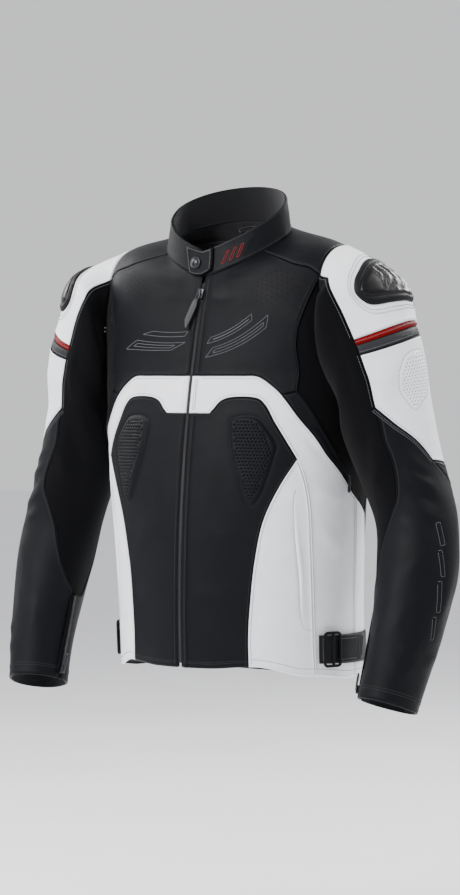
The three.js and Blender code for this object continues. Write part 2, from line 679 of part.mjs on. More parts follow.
const COLLAR_OUTLINE = [[COLLAR_OPENING, 0], [360 - COLLAR_OPENING, 0], [360 - COLLAR_OPENING, 0.86],
  [352, 1], [8, 1], [COLLAR_OPENING, 0.86]];
add('collar', shell(COLLAR, COLLAR_OUTLINE, -COLLAR_THICKNESS, 0), LEATHER_BLACK);

const TAB_OUTLINE = [[TAB_START, 0.12], [TAB_START, 0.95], [TAB_TIP + 1.5, 0.95], [TAB_TIP, 0.86], [TAB_TIP + 6, 0.02],
  [TAB_TIP + 8, -0.02], [-4, 0]];
add('collar_tab', shell(COLLAR, TAB_OUTLINE, TAB_LOW, TAB_LOW + TAB_THICKNESS, { edge: 14 }), LEATHER_BLACK);

function onCollar(turn, height, offset) {
  const out = outward(COLLAR, turn, height);
  return { out, spot: lifted(COLLAR, turn, height, offset) };
}

function standOff(mesh, { out, spot }) {
  mesh.position.copy(spot);
  mesh.quaternion.setFromUnitVectors(vector(0, 1, 0), out);
}

const capProfile = [[0, 0], [SNAP_DIAMETER / 2, 0], [SNAP_DIAMETER / 2, 1.6], [SNAP_DIAMETER / 2 - 1.6, 3],
  [3.6, SNAP_HEIGHT - 0.6], [0, SNAP_HEIGHT]].map(([r, y]) => new THREE.Vector2(r, y));
standOff(add('collar_snap_cap', new THREE.LatheGeometry(capProfile, 24), METAL_BLACK),
  onCollar(SNAP_TURN, SNAP_SHARE, TAB_LOW + TAB_THICKNESS + 0.5));
standOff(add('collar_snap_stud', new THREE.CylinderGeometry(4, 5, STUD_HEIGHT, 20), METAL_BLACK),
  onCollar(SNAP_TURN, SNAP_SHARE, LAYER_GAP + STUD_HEIGHT / 2));

// ---- waist straps: the sewn strap and the free end that folds back over it --------------------------
const STRAP_OUTLINE = [[68, STRAP_LOW], [110, STRAP_LOW - 4], [124, STRAP_LOW - 4], [124, STRAP_HIGH - 2],
  [110, STRAP_HIGH - 2], [68, STRAP_HIGH]];
const STRAP_TAB_START = 76;
const STRAP_TAB_OUTLINE = [[STRAP_TAB_START, STRAP_LOW + 1], [98, STRAP_LOW - 1], [101, STRAP_LOW + 3],
  [103.5, STRAP_HIGH - 8], [101, STRAP_HIGH - 3], [STRAP_TAB_START, STRAP_HIGH - 1]];
const STRAP_IN = LAYER_GAP + 0.8;
const STRAP_OUT = STRAP_IN + STRAP_THICKNESS;
const STRAP_TAB_IN = STRAP_OUT + LAYER_GAP + 0.4;

for (const [side, place] of [['left', (line) => line], ['right', mirrored]]) {
  add(`waist_strap_${side}`, shell(TORSO, place(STRAP_OUTLINE), STRAP_IN, STRAP_OUT, { edge: 26 }), LEATHER_BLACK);
  add(`strap_tab_${side}`, shell(TORSO, place(STRAP_TAB_OUTLINE), STRAP_TAB_IN, STRAP_TAB_IN + STRAP_THICKNESS,
    { edge: 26 }), LEATHER_BLACK);
}

// ---- sleeve pattern lines ---------------------------------------------------------------------------
const UPPER_END = 205;           // the rigid upper sleeve stops here at the front
const LOWER_START = 325;         // and the rigid forearm starts here
const FOREARM_TOP = 303;
const WHITE_FRONT = [[66, 18], [78, 40], [79, 66]];
const WHITE_BACK = [[-66, 18], [-74, 40], [-77, 66]];
const RED_WIDTH = 5.5;
const GREY_WIDTH = 10.5;
const STRIPE_FRONT = 79.5;
const STRIPE_BACK = -79;
const WHITE_FRONT_LOW = [[79, 105], [77, 137], [76, 176]];
const WHITE_LOW = [[56, 206], [37, 228], [11, 264]];
const WHITE_ELBOW = [[-27, 266], [-62, 266], [-100, 265], [-112, 262]];
const WHITE_BACK_LOW = [[-107, 230], [-100, 180], [-90, 137]];
const LEATHER_FRONT = [[75, 196], [77, 225], [73, 250], [70, 277]];
const LEATHER_FRONT_LOW = [[116, 362], [130, 400], [142, 425], [160, 447]];
const STRETCH_BACK_LOW = [[205, 440], [215, 400], [226, 350]];
const STRETCH_TIP = [[178, 456], [197, 457]];
const ZIP_PHI = 174;
const ZIP_SLIT = 3.4;

function stripe(offset) {
  return Array.from({ length: 11 }, (_, i) => {
    const phi = STRIPE_FRONT + (STRIPE_BACK - STRIPE_FRONT) * i / 10;
    return [phi, 79 + 5 * Math.sin(radians(phi)) + offset];
  });
}

function armholeCut(from, to) {
  const steps = Math.ceil(Math.abs(to - from) / 20);
  return Array.from({ length: steps + 1 }, (_, i) => [from + (to - from) * i / steps, CUT_AT_ARMHOLE]);
}

const turned = (line) => line.map(([phi, run]) => [phi + 360, run]);

const RED_TOP = stripe(0);
const RED_LOW = stripe(RED_WIDTH);
const GREY_LOW = stripe(RED_WIDTH + GREY_WIDTH);

const SHOULDER_PANEL = [...armholeCut(60, -60), ...WHITE_BACK, ...back(RED_TOP), ...back(WHITE_FRONT)];
const RED_STRIPE = [...RED_TOP, ...back(RED_LOW)];
const GREY_STRIPE = [...RED_LOW, ...back(GREY_LOW)];
const UPPER_ARM = [
  ...GREY_LOW, ...back(WHITE_BACK_LOW), ...back(WHITE_ELBOW), ...back(WHITE_LOW),
  ...back(WHITE_FRONT_LOW),
];
const SLEEVE_STRETCH = [
  ...armholeCut(60, 300), ...turned([...WHITE_BACK, RED_TOP[10], RED_LOW[10], GREY_LOW[10]]),
  ...turned(back(WHITE_BACK_LOW)).slice(0, 2), [256, UPPER_END], [76, UPPER_END], LEATHER_FRONT[0],
  ...back(WHITE_FRONT_LOW), GREY_LOW[0], RED_LOW[0], RED_TOP[0], ...back(WHITE_FRONT),
];
const ELBOW_STRETCH = [
  [76, UPPER_END], [256, UPPER_END], [253, 230], [248, 262], [243, FOREARM_TOP - 2], [233, LOWER_START], [98, LOWER_START],
  [74, FOREARM_TOP - 2], ...back(LEATHER_FRONT.slice(1)),
];
const ACCORDION = [
  [11, 264], ...WHITE_ELBOW.slice(0, 3), [-98, 292], [-84, FOREARM_TOP], [-44, FOREARM_TOP], [-28, 294], [-6, 279],
];
const ELBOW_LEATHER = [
  ...WHITE_FRONT_LOW.slice(2), ...LEATHER_FRONT, [74, FOREARM_TOP], [-44, FOREARM_TOP], [-28, 294], [-6, 279],
  ...back(WHITE_LOW),
];
const FOREARM_STRETCH = [
  [98, LOWER_START], ...LEATHER_FRONT_LOW, ...STRETCH_TIP, ...STRETCH_BACK_LOW, [233, LOWER_START],
];
const FOREARM_LEATHER = [
  [74, FOREARM_TOP], [98, LOWER_START], ...LEATHER_FRONT_LOW, [ZIP_PHI - ZIP_SLIT, 453], [ZIP_PHI - ZIP_SLIT, CUFF_RUN],
  [90, CUFF_RUN], [0, CUFF_RUN], [-90, CUFF_RUN], [ZIP_PHI + ZIP_SLIT - 360, CUFF_RUN],
  [ZIP_PHI + ZIP_SLIT - 360, 456], [197 - 360, 457], [205 - 360, 440], [215 - 360, 400], [226 - 360, 350],
  [233 - 360, LOWER_START], [243 - 360, FOREARM_TOP], [-84, FOREARM_TOP], [-44, FOREARM_TOP],
];
const ARMOUR_BASE = [
  [4, 23], [20, 28], [36, 36], [50, 45], [56, 54], [48, 63], [15, 64], [-9, 61], [-28, 57], [-36, 48], [-31, 32], [-14, 22],
];
const ELBOW_PAD = [[20, 312], [30, 340], [18, 372], [-12, 386], [-45, 386], [-70, 368], [-78, 340], [-66, 314], [-22, 308]];

// the cuff zip is straight: a frame on the chord of the forearm between its two ends
const CUFF_ZIP_TOP = 462;
const CUFF_ZIP_END = 575;
const CUFF_ZIP_LIFT = 2.6;
const CUFF_SLIDER_LENGTH = 12;

function cuffZipFrame(surface) {
  const top = lifted(surface, ZIP_PHI, CUFF_ZIP_TOP, CUFF_ZIP_LIFT);
  const end = lifted(surface, ZIP_PHI, CUFF_ZIP_END, CUFF_ZIP_LIFT);
  const along = end.clone().sub(top);
  const middle = (CUFF_ZIP_TOP + CUFF_ZIP_END) / 2;
  const across = outward(surface, ZIP_PHI, middle).cross(along).normalize();
  const out = along.clone().cross(across).normalize();
  return { top, end, out, across, along: along.clone().normalize(), length: along.length() };
}

function onCuffZip(name, frame, size, distance, height, finish) {
  const mesh = add(name, new THREE.BoxGeometry(...size), finish);
  const basis = new THREE.Matrix4().makeBasis(frame.across, frame.out, frame.along);
  mesh.quaternion.setFromRotationMatrix(basis);
  mesh.position.copy(frame.top).addScaledVector(frame.along, distance).addScaledVector(frame.out, height);
}

function shrunk(outline, distance) {
  const unit = 1.05;
  const flat = outline.map(([u, v]) => new THREE.Vector2(u * unit, v));
  return inset(flat, distance).map((p) => [p.x / unit, p.y]);
}

for (const [name, side] of [['left', 1], ['right', -1]]) {
  const surface = sleeveSurface(side);
  const panel = (part, outline, finish) => {
    add(`${part}_${name}`, shell(surface, outline, -SHELL_THICKNESS, 0), finish);
  };
  panel('shoulder_panel', SHOULDER_PANEL, LEATHER_WHITE);
  panel('red_stripe', RED_STRIPE, LEATHER_RED);
  panel('grey_stripe', GREY_STRIPE, LEATHER_GREY);
  panel('upper_arm', UPPER_ARM, LEATHER_WHITE);
  panel('sleeve_stretch', SLEEVE_STRETCH, STRETCH_BLACK);
  panel('elbow_stretch', ELBOW_STRETCH, STRETCH_BLACK);
  panel('elbow_leather', ELBOW_LEATHER, LEATHER_BLACK);
  panel('elbow_accordion', ACCORDION, LEATHER_BLACK);
  panel('forearm_stretch', FOREARM_STRETCH, STRETCH_BLACK);
  panel('forearm_leather', FOREARM_LEATHER, LEATHER_BLACK);
  add(`shoulder_armour_base_${name}`, shell(surface, ARMOUR_BASE, LAYER_GAP + 0.6,
    LAYER_GAP + 0.6 + ARMOUR_BASE_THICKNESS, { edge: 22 }), PLASTIC_BLACK);
  const capLow = 2 * LAYER_GAP + 0.8 + ARMOUR_BASE_THICKNESS;
  add(`shoulder_armour_cap_${name}`, shell(surface, shrunk(ARMOUR_BASE, ARMOUR_RIM), capLow,
    capLow + ARMOUR_CAP_THICKNESS, { edge: 18 }), PLASTIC_BLACK);
  add(`elbow_protector_${name}`, shell(surface, ELBOW_PAD, -SHELL_THICKNESS - 3.2 - PROTECTOR_THICKNESS,
    -SHELL_THICKNESS - 3.2), FOAM_BLACK);
  const frame = cuffZipFrame(surface);
  onCuffZip(`cuff_zip_${name}`, frame, [CUFF_ZIP_WIDTH, CUFF_ZIP_HEIGHT, frame.length], frame.length / 2,
    CUFF_ZIP_HEIGHT / 2, METAL_BLACK);
  onCuffZip(`cuff_zip_slider_${name}`, frame, [CUFF_ZIP_WIDTH, SLIDER_HEIGHT, CUFF_SLIDER_LENGTH],
    frame.length - CUFF_SLIDER_LENGTH / 2 - 1, CUFF_ZIP_HEIGHT + LAYER_GAP + SLIDER_HEIGHT / 2, METAL_BLACK);
}

// the origin is where the jacket hangs: the middle of the hanging loop inside the back of the neck
jacket.position.copy(lifted(TORSO, 180, LOOP_HEIGHT, -SHELL_THICKNESS - LAYER_GAP)).negate();

export default jacket;
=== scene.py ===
import math

import bpy
import numpy as np
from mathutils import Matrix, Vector, geometry, kdtree


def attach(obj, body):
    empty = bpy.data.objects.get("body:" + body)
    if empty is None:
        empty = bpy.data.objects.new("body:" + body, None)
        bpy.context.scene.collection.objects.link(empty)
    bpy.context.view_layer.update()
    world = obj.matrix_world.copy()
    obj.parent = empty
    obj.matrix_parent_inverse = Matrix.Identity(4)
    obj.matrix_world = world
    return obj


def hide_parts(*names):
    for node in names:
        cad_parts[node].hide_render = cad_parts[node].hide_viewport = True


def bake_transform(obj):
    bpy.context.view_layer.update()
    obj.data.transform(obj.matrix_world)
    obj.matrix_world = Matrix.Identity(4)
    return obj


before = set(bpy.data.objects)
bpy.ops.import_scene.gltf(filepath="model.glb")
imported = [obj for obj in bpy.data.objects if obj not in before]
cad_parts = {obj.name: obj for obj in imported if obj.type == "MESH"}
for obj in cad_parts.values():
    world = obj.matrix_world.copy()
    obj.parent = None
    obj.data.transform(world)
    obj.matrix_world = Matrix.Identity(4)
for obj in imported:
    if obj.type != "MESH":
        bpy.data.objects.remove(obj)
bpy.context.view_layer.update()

# Lengths are in millimetres on the jacket's pattern and in the design frame, whose z is 0 at the hem.
# The row frame is the same frame in metres, moved to the hanging loop by to_row().

# ---- torso surface: turn in degrees from the zip (plus = wearer's left), height 0 hem to 600 neck ----
FRONT_LENGTH = 533.0
CHEST_HALF_WIDTH = 204.0
WAIST_HALF_WIDTH = 177.0
HEM_FRONT_Y = -138.0
BACK_Y = 158.0
ZIP_ARC_RADIUS = 1600.0
NECK_HALF_WIDTH = 92.0
NECK_HALF_DEPTH = 62.0
NECK_RISE = 84.0
COLLAR_FRONT_HEIGHT = 36.0
COLLAR_BACK_HEIGHT = 45.0
CHEST_HEIGHT = 400.0
NECK_HEIGHT = 600.0
NECK_FRONT_Y = HEM_FRONT_Y + 60
CHEST_Z = 0.75 * FRONT_LENGTH
SECTION_POWER = 2.35
FRONT_POWER_AT_HEM = 1.85
TORSO_UNIT = 3.2                 # millimetres per degree of turn, about
SLEEVE_UNIT = 1.05
COLLAR_UNIT = 1.4


def smooth(low, high, value):
    t = np.clip((np.asarray(value, float) - low) / (high - low), 0, 1)
    return t * t * (3 - 2 * t)


def power(value, exponent):
    return np.sign(value) * np.abs(value) ** exponent


def zip_arc_centre():
    hem = np.array([HEM_FRONT_Y, 0.0])
    neck = np.array([NECK_FRONT_Y, FRONT_LENGTH])
    chord = neck - hem
    half = np.linalg.norm(chord) / 2
    inward = np.array([chord[1], -chord[0]]) / (2 * half)
    return (hem + neck) / 2 + inward * math.sqrt(ZIP_ARC_RADIUS ** 2 - half ** 2)


ARC = zip_arc_centre()


def front_y(z):
    return ARC[0] - np.sqrt(ZIP_ARC_RADIUS ** 2 - (z - ARC[1]) ** 2)


def back_y(height):
    waist = 10 * np.sin(math.pi * np.clip((height + 40) / 440, 0, 1))
    return BACK_Y - waist - 14 * np.clip(height / CHEST_HEIGHT, 0, 1) ** 2


def half_width(height):
    share = np.clip(height / CHEST_HEIGHT, 0, 1) ** 1.8
    return WAIST_HALF_WIDTH + (CHEST_HALF_WIDTH - WAIST_HALF_WIDTH) * share


def body_section(turn, height):
    z = height * CHEST_Z / CHEST_HEIGHT
    front, back = front_y(z), back_y(height)
    front_power = FRONT_POWER_AT_HEM + (SECTION_POWER - FRONT_POWER_AT_HEM) * smooth(100, 330, height)
    exponent = 2 / np.where(np.cos(turn) > 0, front_power, SECTION_POWER)
    x = half_width(height) * power(np.sin(turn), exponent)
    y = (front + back) / 2 - (back - front) / 2 * power(np.cos(turn), exponent)
    return np.stack([x, y, z + 0 * turn], -1)


def neck_ring(turn):
    rise = ((1 - np.cos(turn)) / 2) ** 0.61
    y = NECK_FRONT_Y + NECK_HALF_DEPTH - NECK_HALF_DEPTH * np.cos(turn)
    return np.stack([NECK_HALF_WIDTH * np.sin(turn), y, FRONT_LENGTH + NECK_RISE * rise], -1)


def out_and_up(turn, out, up):
    return np.stack([out * np.sin(turn), -out * np.cos(turn), up + 0 * turn], -1)


def torso_point(turn_degrees, height):
    turn, height = np.broadcast_arrays(np.radians(turn_degrees), np.asarray(height, float))
    low_part = body_section(turn, np.minimum(height, CHEST_HEIGHT))
    t = np.clip((height - CHEST_HEIGHT) / (NECK_HEIGHT - CHEST_HEIGHT), 0, 1)[..., None]
    side = np.abs(np.sin(turn)) ** 2.2
    front = (1 - side) * (1 + np.cos(turn)) / 2
    back = (1 - side) * (1 - np.cos(turn)) / 2
    chest = body_section(turn, np.full(turn.shape, CHEST_HEIGHT))
    neck = neck_ring(turn)
    low = chest + out_and_up(turn, -9 * front + 14 * side + 2 * back, 48 * front + 185 * side + 95 * back)
    high = neck + out_and_up(turn, 12 * front + 92 * side + 30 * back, -46 * front - 6 * side - 62 * back)
    curve = (1 - t) ** 3 * chest + 3 * (1 - t) ** 2 * t * low + 3 * (1 - t) * t * t * high + t ** 3 * neck
    return np.where((height > CHEST_HEIGHT)[..., None], curve, low_part)


# ---- sleeve surface: phi in degrees (0 outside, 90 front, 180 inside), run 0 armhole to 580 cuff -
ARMHOLE_TURN, ARMHOLE_FRONT, ARMHOLE_BACK = 92.0, 31.0, 30.0
ARMHOLE_HEIGHT, ARMHOLE_UP, ARMHOLE_DOWN = 450.0, 75.0, 55.0
SHOULDER = np.array([CHEST_HALF_WIDTH - 23, 12, CHEST_Z + 90])
SLEEVE_ROLL = 8.0
SLEEVE_CLEARANCE = 8.0
# run along the pattern, centre from the shoulder, vectors outside and inside, radii front and back
ARM_RINGS = [
    (36, (27, -24, -2), (40, 0, 50), (-22, 0, -103), 82, 80),
    (86, (40, -20, -50), (65, 0, 20), (-31, 0, -88), 78, 76),
    (183, (62, -15, -145), (63, 0, 15), (-56, 0, -30), 67, 68),
    (264, (87, -12, -222), (55, 0, 17), (-55, 0, -16), 60, 62),
    (333, (110, -12, -288), (54, 0, 10), (-54, 0, -10), 57, 60),
    (400, (120, -27, -353), (54, 0, 3), (-55, 0, -3), 55, 57),
    (474, (119, -50, -423), (48, 0, -1), (-49, 0, 1), 50, 50),
    (548, (112, -74, -492), (42, 0, -4), (-42, 0, 4), 46, 45),
    (580, (107, -86, -530), (40, 0, -5), (-40, 0, 5), 44, 43),
]
RUNS = np.array([0.0] + [ring[0] for ring in ARM_RINGS])
CENTRES = [SHOULDER] + [SHOULDER + np.array(ring[1], float) for ring in ARM_RINGS]


def armhole_point(phi):
    cos, sin = np.cos(phi), np.sin(phi)
    turn = ARMHOLE_TURN - np.where(sin > 0, ARMHOLE_FRONT, ARMHOLE_BACK) * sin
    return turn, ARMHOLE_HEIGHT + np.where(cos > 0, ARMHOLE_UP, ARMHOLE_DOWN) * cos


def ring_point(index, phi):
    _, _, outside, inside, front, back = ARM_RINGS[index]
    axis = CENTRES[min(index + 2, len(CENTRES) - 1)] - CENTRES[index]
    forward = np.cross(axis, outside)
    forward = forward / np.linalg.norm(forward)
    forward = -forward if forward[1] > 0 else forward
    cos, sin = np.cos(phi)[:, None], np.sin(phi)[:, None]
    aside = np.where(cos > 0, np.array(outside, float), np.array(inside, float)) * np.abs(cos)
    return CENTRES[index + 1] + aside + forward * sin * np.where(sin > 0, front, back)


def clear_of_body(points, run):
    level = np.minimum(points[:, 2], CHEST_Z)
    height = level * CHEST_HEIGHT / CHEST_Z
    gap = SLEEVE_CLEARANCE * np.clip(run / 30, 0, 1) + 0.5
    half = half_width(height) + gap - 2 * np.maximum(0, points[:, 2] - CHEST_Z - 25)
    front, back = front_y(level) - gap, back_y(height) + gap
    depth = np.abs(2 * (points[:, 1] - (front + back) / 2) / (back - front)) ** SECTION_POWER
    least = half * np.maximum(1 - depth, 0) ** (1 / SECTION_POWER)
    points[:, 0] = np.where(depth < 1, np.maximum(points[:, 0], least), points[:, 0])
    return points


def left_sleeve_point(phi_degrees, run):
    phi = np.radians(phi_degrees)
    knots = np.array([torso_point(*armhole_point(phi))] + [ring_point(i,
            phi) for i in range(len(ARM_RINGS))])
    last = len(RUNS) - 1
    steps = np.diff(RUNS)[:, None, None]
    chords = np.diff(knots, axis=0) / steps
    slopes = np.empty_like(knots)
    slopes[1:last] = (chords[:-1] * steps[1:] + chords[1:] * steps[:-1]) / (steps[1:] + steps[:-1])
    slopes[last] = chords[-1]
    over = (0.9 * np.cos(phi / 2) ** 4)[:, None]
    length = np.linalg.norm(chords[0], axis=1, keepdims=True)
    slopes[0] = chords[0] * (1 - over) + np.array([0.97, 0, -0.22]) * 1.1 * length * over
    k = np.clip(np.searchsorted(RUNS, run, side="right") - 1, 0, last - 1)
    span = RUNS[k + 1] - RUNS[k]
    u = ((run - RUNS[k]) / span)[:, None]
    span = span[:, None]
    row = np.arange(len(run))
    points = (2 * u ** 3 - 3 * u ** 2 + 1) * knots[k, row] + (u ** 3 - 2 * u ** 2 + u) * span * slopes[k,
            row]
    points = points + (3 * u ** 2 - 2 * u ** 3) * knots[k + 1,
            row] + (u ** 3 - u ** 2) * span * slopes[k + 1, row]
    return clear_of_body(points, run)


def sleeve_point(side, phi, run):
    phi, run = np.broadcast_arrays(np.asarray(phi, float), np.asarray(run, float))
    shape = phi.shape
    phi, run = phi.ravel(), run.ravel()
    roll = SLEEVE_ROLL * smooth(0, 40, run) * (1 - smooth(230, 310, run))
    points = left_sleeve_point(phi - side * roll * np.sin(np.radians(np.clip(phi, 0, 180))), run)
    points[:, 0] *= side
    return points.reshape(shape + (3,))


def collar_point(turn_degrees, height):
    turn, height = np.broadcast_arrays(np.radians(turn_degrees), np.asarray(height, float))
    full = COLLAR_FRONT_HEIGHT + (COLLAR_BACK_HEIGHT - COLLAR_FRONT_HEIGHT) * (1 - np.cos(turn)) / 2
    share = height / 40
    return neck_ring(turn) + out_and_up(turn, 2 - 5 * share, 1.5 + full * share)


class Surface:
    """point(u, v) in millimetres; u is turned into flat millimetres by unit, v already is."""

    def __init__(self, point, facing, unit):
        self.point, self.facing, self.unit = point, facing, unit

    def at(self, flat):
        return self.point(flat[:, 0] / self.unit, flat[:, 1])

    def normals(self, flat):
        step = 0.4
        along = self.at(flat + [step, 0]) - self.at(flat - [step, 0])
        up = self.at(flat + [0, step]) - self.at(flat - [0, step])
        cross = np.cross(along, up) * self.facing
        return cross / np.maximum(np.linalg.norm(cross, axis=1, keepdims=True), 1e-9)


TORSO = Surface(torso_point, 1, TORSO_UNIT)
COLLAR = Surface(collar_point, 1, COLLAR_UNIT)
SLEEVE = {
    "left": Surface(lambda phi, run: sleeve_point(1, phi, run), 1, SLEEVE_UNIT),
    "right": Surface(lambda phi, run: sleeve_point(-1, phi, run), -1, SLEEVE_UNIT),
}
SIDE = {"left": 1, "right": -1}
LOOP_FLAT = np.array([[180 * TORSO_UNIT, 586.0]])
ORIGIN = (TORSO.at(LOOP_FLAT) - TORSO.normals(LOOP_FLAT) * 3.0)[0]


def to_row(points):
    return (np.asarray(points, float) - ORIGIN) / 1000


# ---- flat geometry -------------------------------------------------------------------------------
def torso_flat(points):
    return np.array(points, float) * [TORSO_UNIT, 1]


def sleeve_flat(points):
    return np.array(points, float) * [SLEEVE_UNIT, 1]


def collar_flat(points):
    return np.array(points, float) * [COLLAR_UNIT, 40]


def smooth_line(points, step=2.5):
    """A Catmull-Rom curve through flat points, sampled every step."""
    p = np.array(points, float)
    if len(p) < 3:
        return resample(p, step)
    q = np.vstack([2 * p[0] - p[1], p, 2 * p[-1] - p[-2]])
    out = []
    for i in range(1, len(q) - 2):
        a, b, c, d = q[i - 1], q[i], q[i + 1], q[i + 2]
        t = [0.0]
        for m, n in ((a, b), (b, c), (c, d)):
            t.append(t[-1] + max(np.linalg.norm(n - m), 1e-6) ** 0.5)
        u = np.linspace(t[1], t[2], max(2, int(np.linalg.norm(c - b) / step) + 1), endpoint=False)[:, None]
        a1 = (t[1] - u) / (t[1] - t[0]) * a + (u - t[0]) / (t[1] - t[0]) * b
        a2 = (t[2] - u) / (t[2] - t[1]) * b + (u - t[1]) / (t[2] - t[1]) * c
        a3 = (t[3] - u) / (t[3] - t[2]) * c + (u - t[2]) / (t[3] - t[2]) * d
        b1 = (t[2] - u) / (t[2] - t[0]) * a1 + (u - t[0]) / (t[2] - t[0]) * a2
        b2 = (t[3] - u) / (t[3] - t[1]) * a2 + (u - t[1]) / (t[3] - t[1]) * a3
        out.append((t[2] - u) / (t[2] - t[1]) * b1 + (u - t[1]) / (t[2] - t[1]) * b2)
    return np.vstack(out + [p[-1:]])


def resample(points, step, closed=False):
    p = np.array(points, float)
    if closed:
        p = looped(p)
    seg = np.linalg.norm(np.diff(p, axis=0), axis=1)
    at = np.concatenate([[0], np.cumsum(seg)])
    count = max(3 if closed else 1, int(round(at[-1] / step)))
    want = np.linspace(0, at[-1], count + 1)
    out = np.stack([np.interp(want, at, p[:, 0]), np.interp(want, at, p[:, 1])], 1)
    return out[:-1] if closed else out


SAME_POINT = 0.9                 # outline points nearer than this are one point
OUTLINE_STEP = 3.2


def join(*lines):
    """One closed outline from lines that follow each other; corners stay, doubled points go."""
    points = np.vstack(lines)
    keep = [0]
    for i in range(1, len(points)):
        if np.linalg.norm(points[i] - points[keep[-1]]) > SAME_POINT:
            keep.append(i)
    if np.linalg.norm(points[keep[-1]] - points[0]) < SAME_POINT:
        keep.pop()
    outline = [points[keep[0]]]
    for a, b in zip(keep, keep[1:] + [keep[0]]):
        gap = np.linalg.norm(points[b] - points[a])
        steps = max(1, int(math.ceil(gap / OUTLINE_STEP)))
        for k in range(1, steps + 1):
            outline.append(points[a] + (points[b] - points[a]) * k / steps)
    return np.array(outline[:-1])


def segment_distance(starts, ends, points):
    out = np.full(len(points), 1e9)
    d = ends - starts
    length = np.maximum((d * d).sum(1), 1e-12)
    for low in range(0, len(points), 2000):
        p = points[low:low + 2000, None, :]
        t = np.clip(((p - starts) * d).sum(2) / length, 0, 1)
        near = starts + t[..., None] * d
        out[low:low + 2000] = np.sqrt(((p - near) ** 2).sum(2)).min(1)
    return out


def line_distance(line, points):
    return segment_distance(line[:-1], line[1:], points)


def edge_distance(outline, points):
    return segment_distance(outline, np.roll(outline, -1, 0), points)


def inside(outline, points):
    out = np.zeros(len(points), bool)
    a, b = outline, np.roll(outline, -1, 0)
    for low in range(0, len(points), 4000):
        p = points[low:low + 4000, None, :]
        cross = (a[:, 1] > p[..., 1]) != (b[:, 1] > p[..., 1])
        with np.errstate(divide="ignore", invalid="ignore"):
            x = (b[:, 0] - a[:, 0]) * (p[..., 1] - a[:, 1]) / (b[:, 1] - a[:, 1]) + a[:, 0]
        out[low:low + 4000] = (cross & (p[..., 0] < x)).sum(1) % 2 == 1
    return out


def area(outline):
    nxt = np.roll(outline, -1, 0)
    return (outline[:, 0] * nxt[:, 1] - nxt[:, 0] * outline[:, 1]).sum() / 2


def sideways(line, distance, closed=False):
    """The line moved to its left by distance."""
    if closed:
        d = np.roll(line, -1, 0) - np.roll(line, 1, 0)
    else:
        d = np.gradient(line, axis=0)
    d = d / np.maximum(np.linalg.norm(d, axis=1, keepdims=True), 1e-9)
    return line + np.stack([-d[:, 1], d[:, 0]], 1) * distance


def inner_line(outline, distance):
    """A closed line inside a closed outline, without the loops that sharp corners would make."""
    sign = 1 if area(outline) > 0 else -1
    moved = sideways(outline, distance * sign, True)
    good = inside(outline, moved) & (edge_distance(outline, moved) > distance * 0.93)
    return moved[good]


def mirrored(line):
    return line * [-1, 1]


def looped(line):
    """A closed line with its first point once more at the end."""
    return np.vstack([line, line[:1]])


FLIP = {"left": lambda line: line, "right": mirrored}       # from the left half's pattern to a side's


# ---- relief: folds and waves shared by every piece on a surface ----------------------------------
class Relief:
    """Folds (flat polyline, height, half width), slow waves and embossed pads, in millimetres."""

    def __init__(self, folds=(), waves=(), pads=()):
        self.folds, self.waves, self.pads = list(folds), list(waves), list(pads)

    def __call__(self, flat):
        out = np.zeros(len(flat))
        for line, height, width in self.folds:
            line = smooth_line(line, 6)
            reach = width * 3
            low, high = line.min(0) - reach, line.max(0) + reach
            near = ((flat > low) & (flat < high)).all(1)
            if not near.any():
                continue
            p = flat[near]
            d = line_distance(line, p)
            ends = np.minimum(np.linalg.norm(p - line[0], axis=1), np.linalg.norm(p - line[-1], axis=1))
            total = np.linalg.norm(np.diff(line, axis=0), axis=1).sum()
            out[near] += height * np.exp(-(d / width) ** 2) * smooth(0, 0.42 * total, ends)
        for (along, up, phase), height in self.waves:
            out += height * np.sin(flat[:, 0] * along + flat[:, 1] * up + phase)
        for outline, height, soft in self.pads:
            low, high = outline.min(0) - 12, outline.max(0) + 12
            near = ((flat > low) & (flat < high)).all(1)
            if not near.any():
                continue
            p = flat[near]
            d = edge_distance(outline, p)
            within = inside(outline, p)
            raised = height * (0.55 * smooth(0, 4.0, d) + 0.45 * smooth(2, soft, d))
            out[near] += np.where(within, raised, 0) - 0.9 * np.exp(-(d / 1.7) ** 2)
        return out


# ---- mesh making ---------------------------------------------------------------------------------
def new_mesh(name, points_mm, faces, materials, face_material=None, uv=None, smooth_shade=True):
    mesh = bpy.data.meshes.new(name)
    mesh.from_pydata(to_row(points_mm).tolist(), [], [tuple(f) for f in faces])
    for material in materials:
        mesh.materials.append(material)
    if face_material is not None:
        mesh.polygons.foreach_set("material_index", np.asarray(face_material, np.int32))
    if uv is not None:
        layer = mesh.uv_layers.new(name="flat")
        loops = np.empty(len(mesh.loops), np.int32)
        mesh.loops.foreach_get("vertex_index", loops)
        layer.data.foreach_set("uv", (np.asarray(uv)[loops] / 1000).astype(np.float32).ravel())
    mesh.polygons.foreach_set("use_smooth", np.full(len(mesh.polygons), smooth_shade))
    mesh.update()
    obj = bpy.data.objects.new(name, mesh)
    bpy.context.scene.collection.objects.link(obj)
    return obj


def nearest(points, wanted):
    """The distance from each wanted flat point to the nearest of points."""
    tree = kdtree.KDTree(len(points))
    for i, (u, v) in enumerate(points):
        tree.insert((u, v, 0), i)
    tree.balance()
    return np.array([tree.find((u, v, 0))[2] for u, v in wanted])


def spread(groups, spacings):
    """Keeps each group's points that lie further than its spacing from all points kept before."""
    kept = [groups[0]]
    for group, spacing in zip(groups[1:], spacings):
        if not len(group):
            continue
        kept.append(group[nearest(np.vstack(kept), group) > spacing])
    return kept


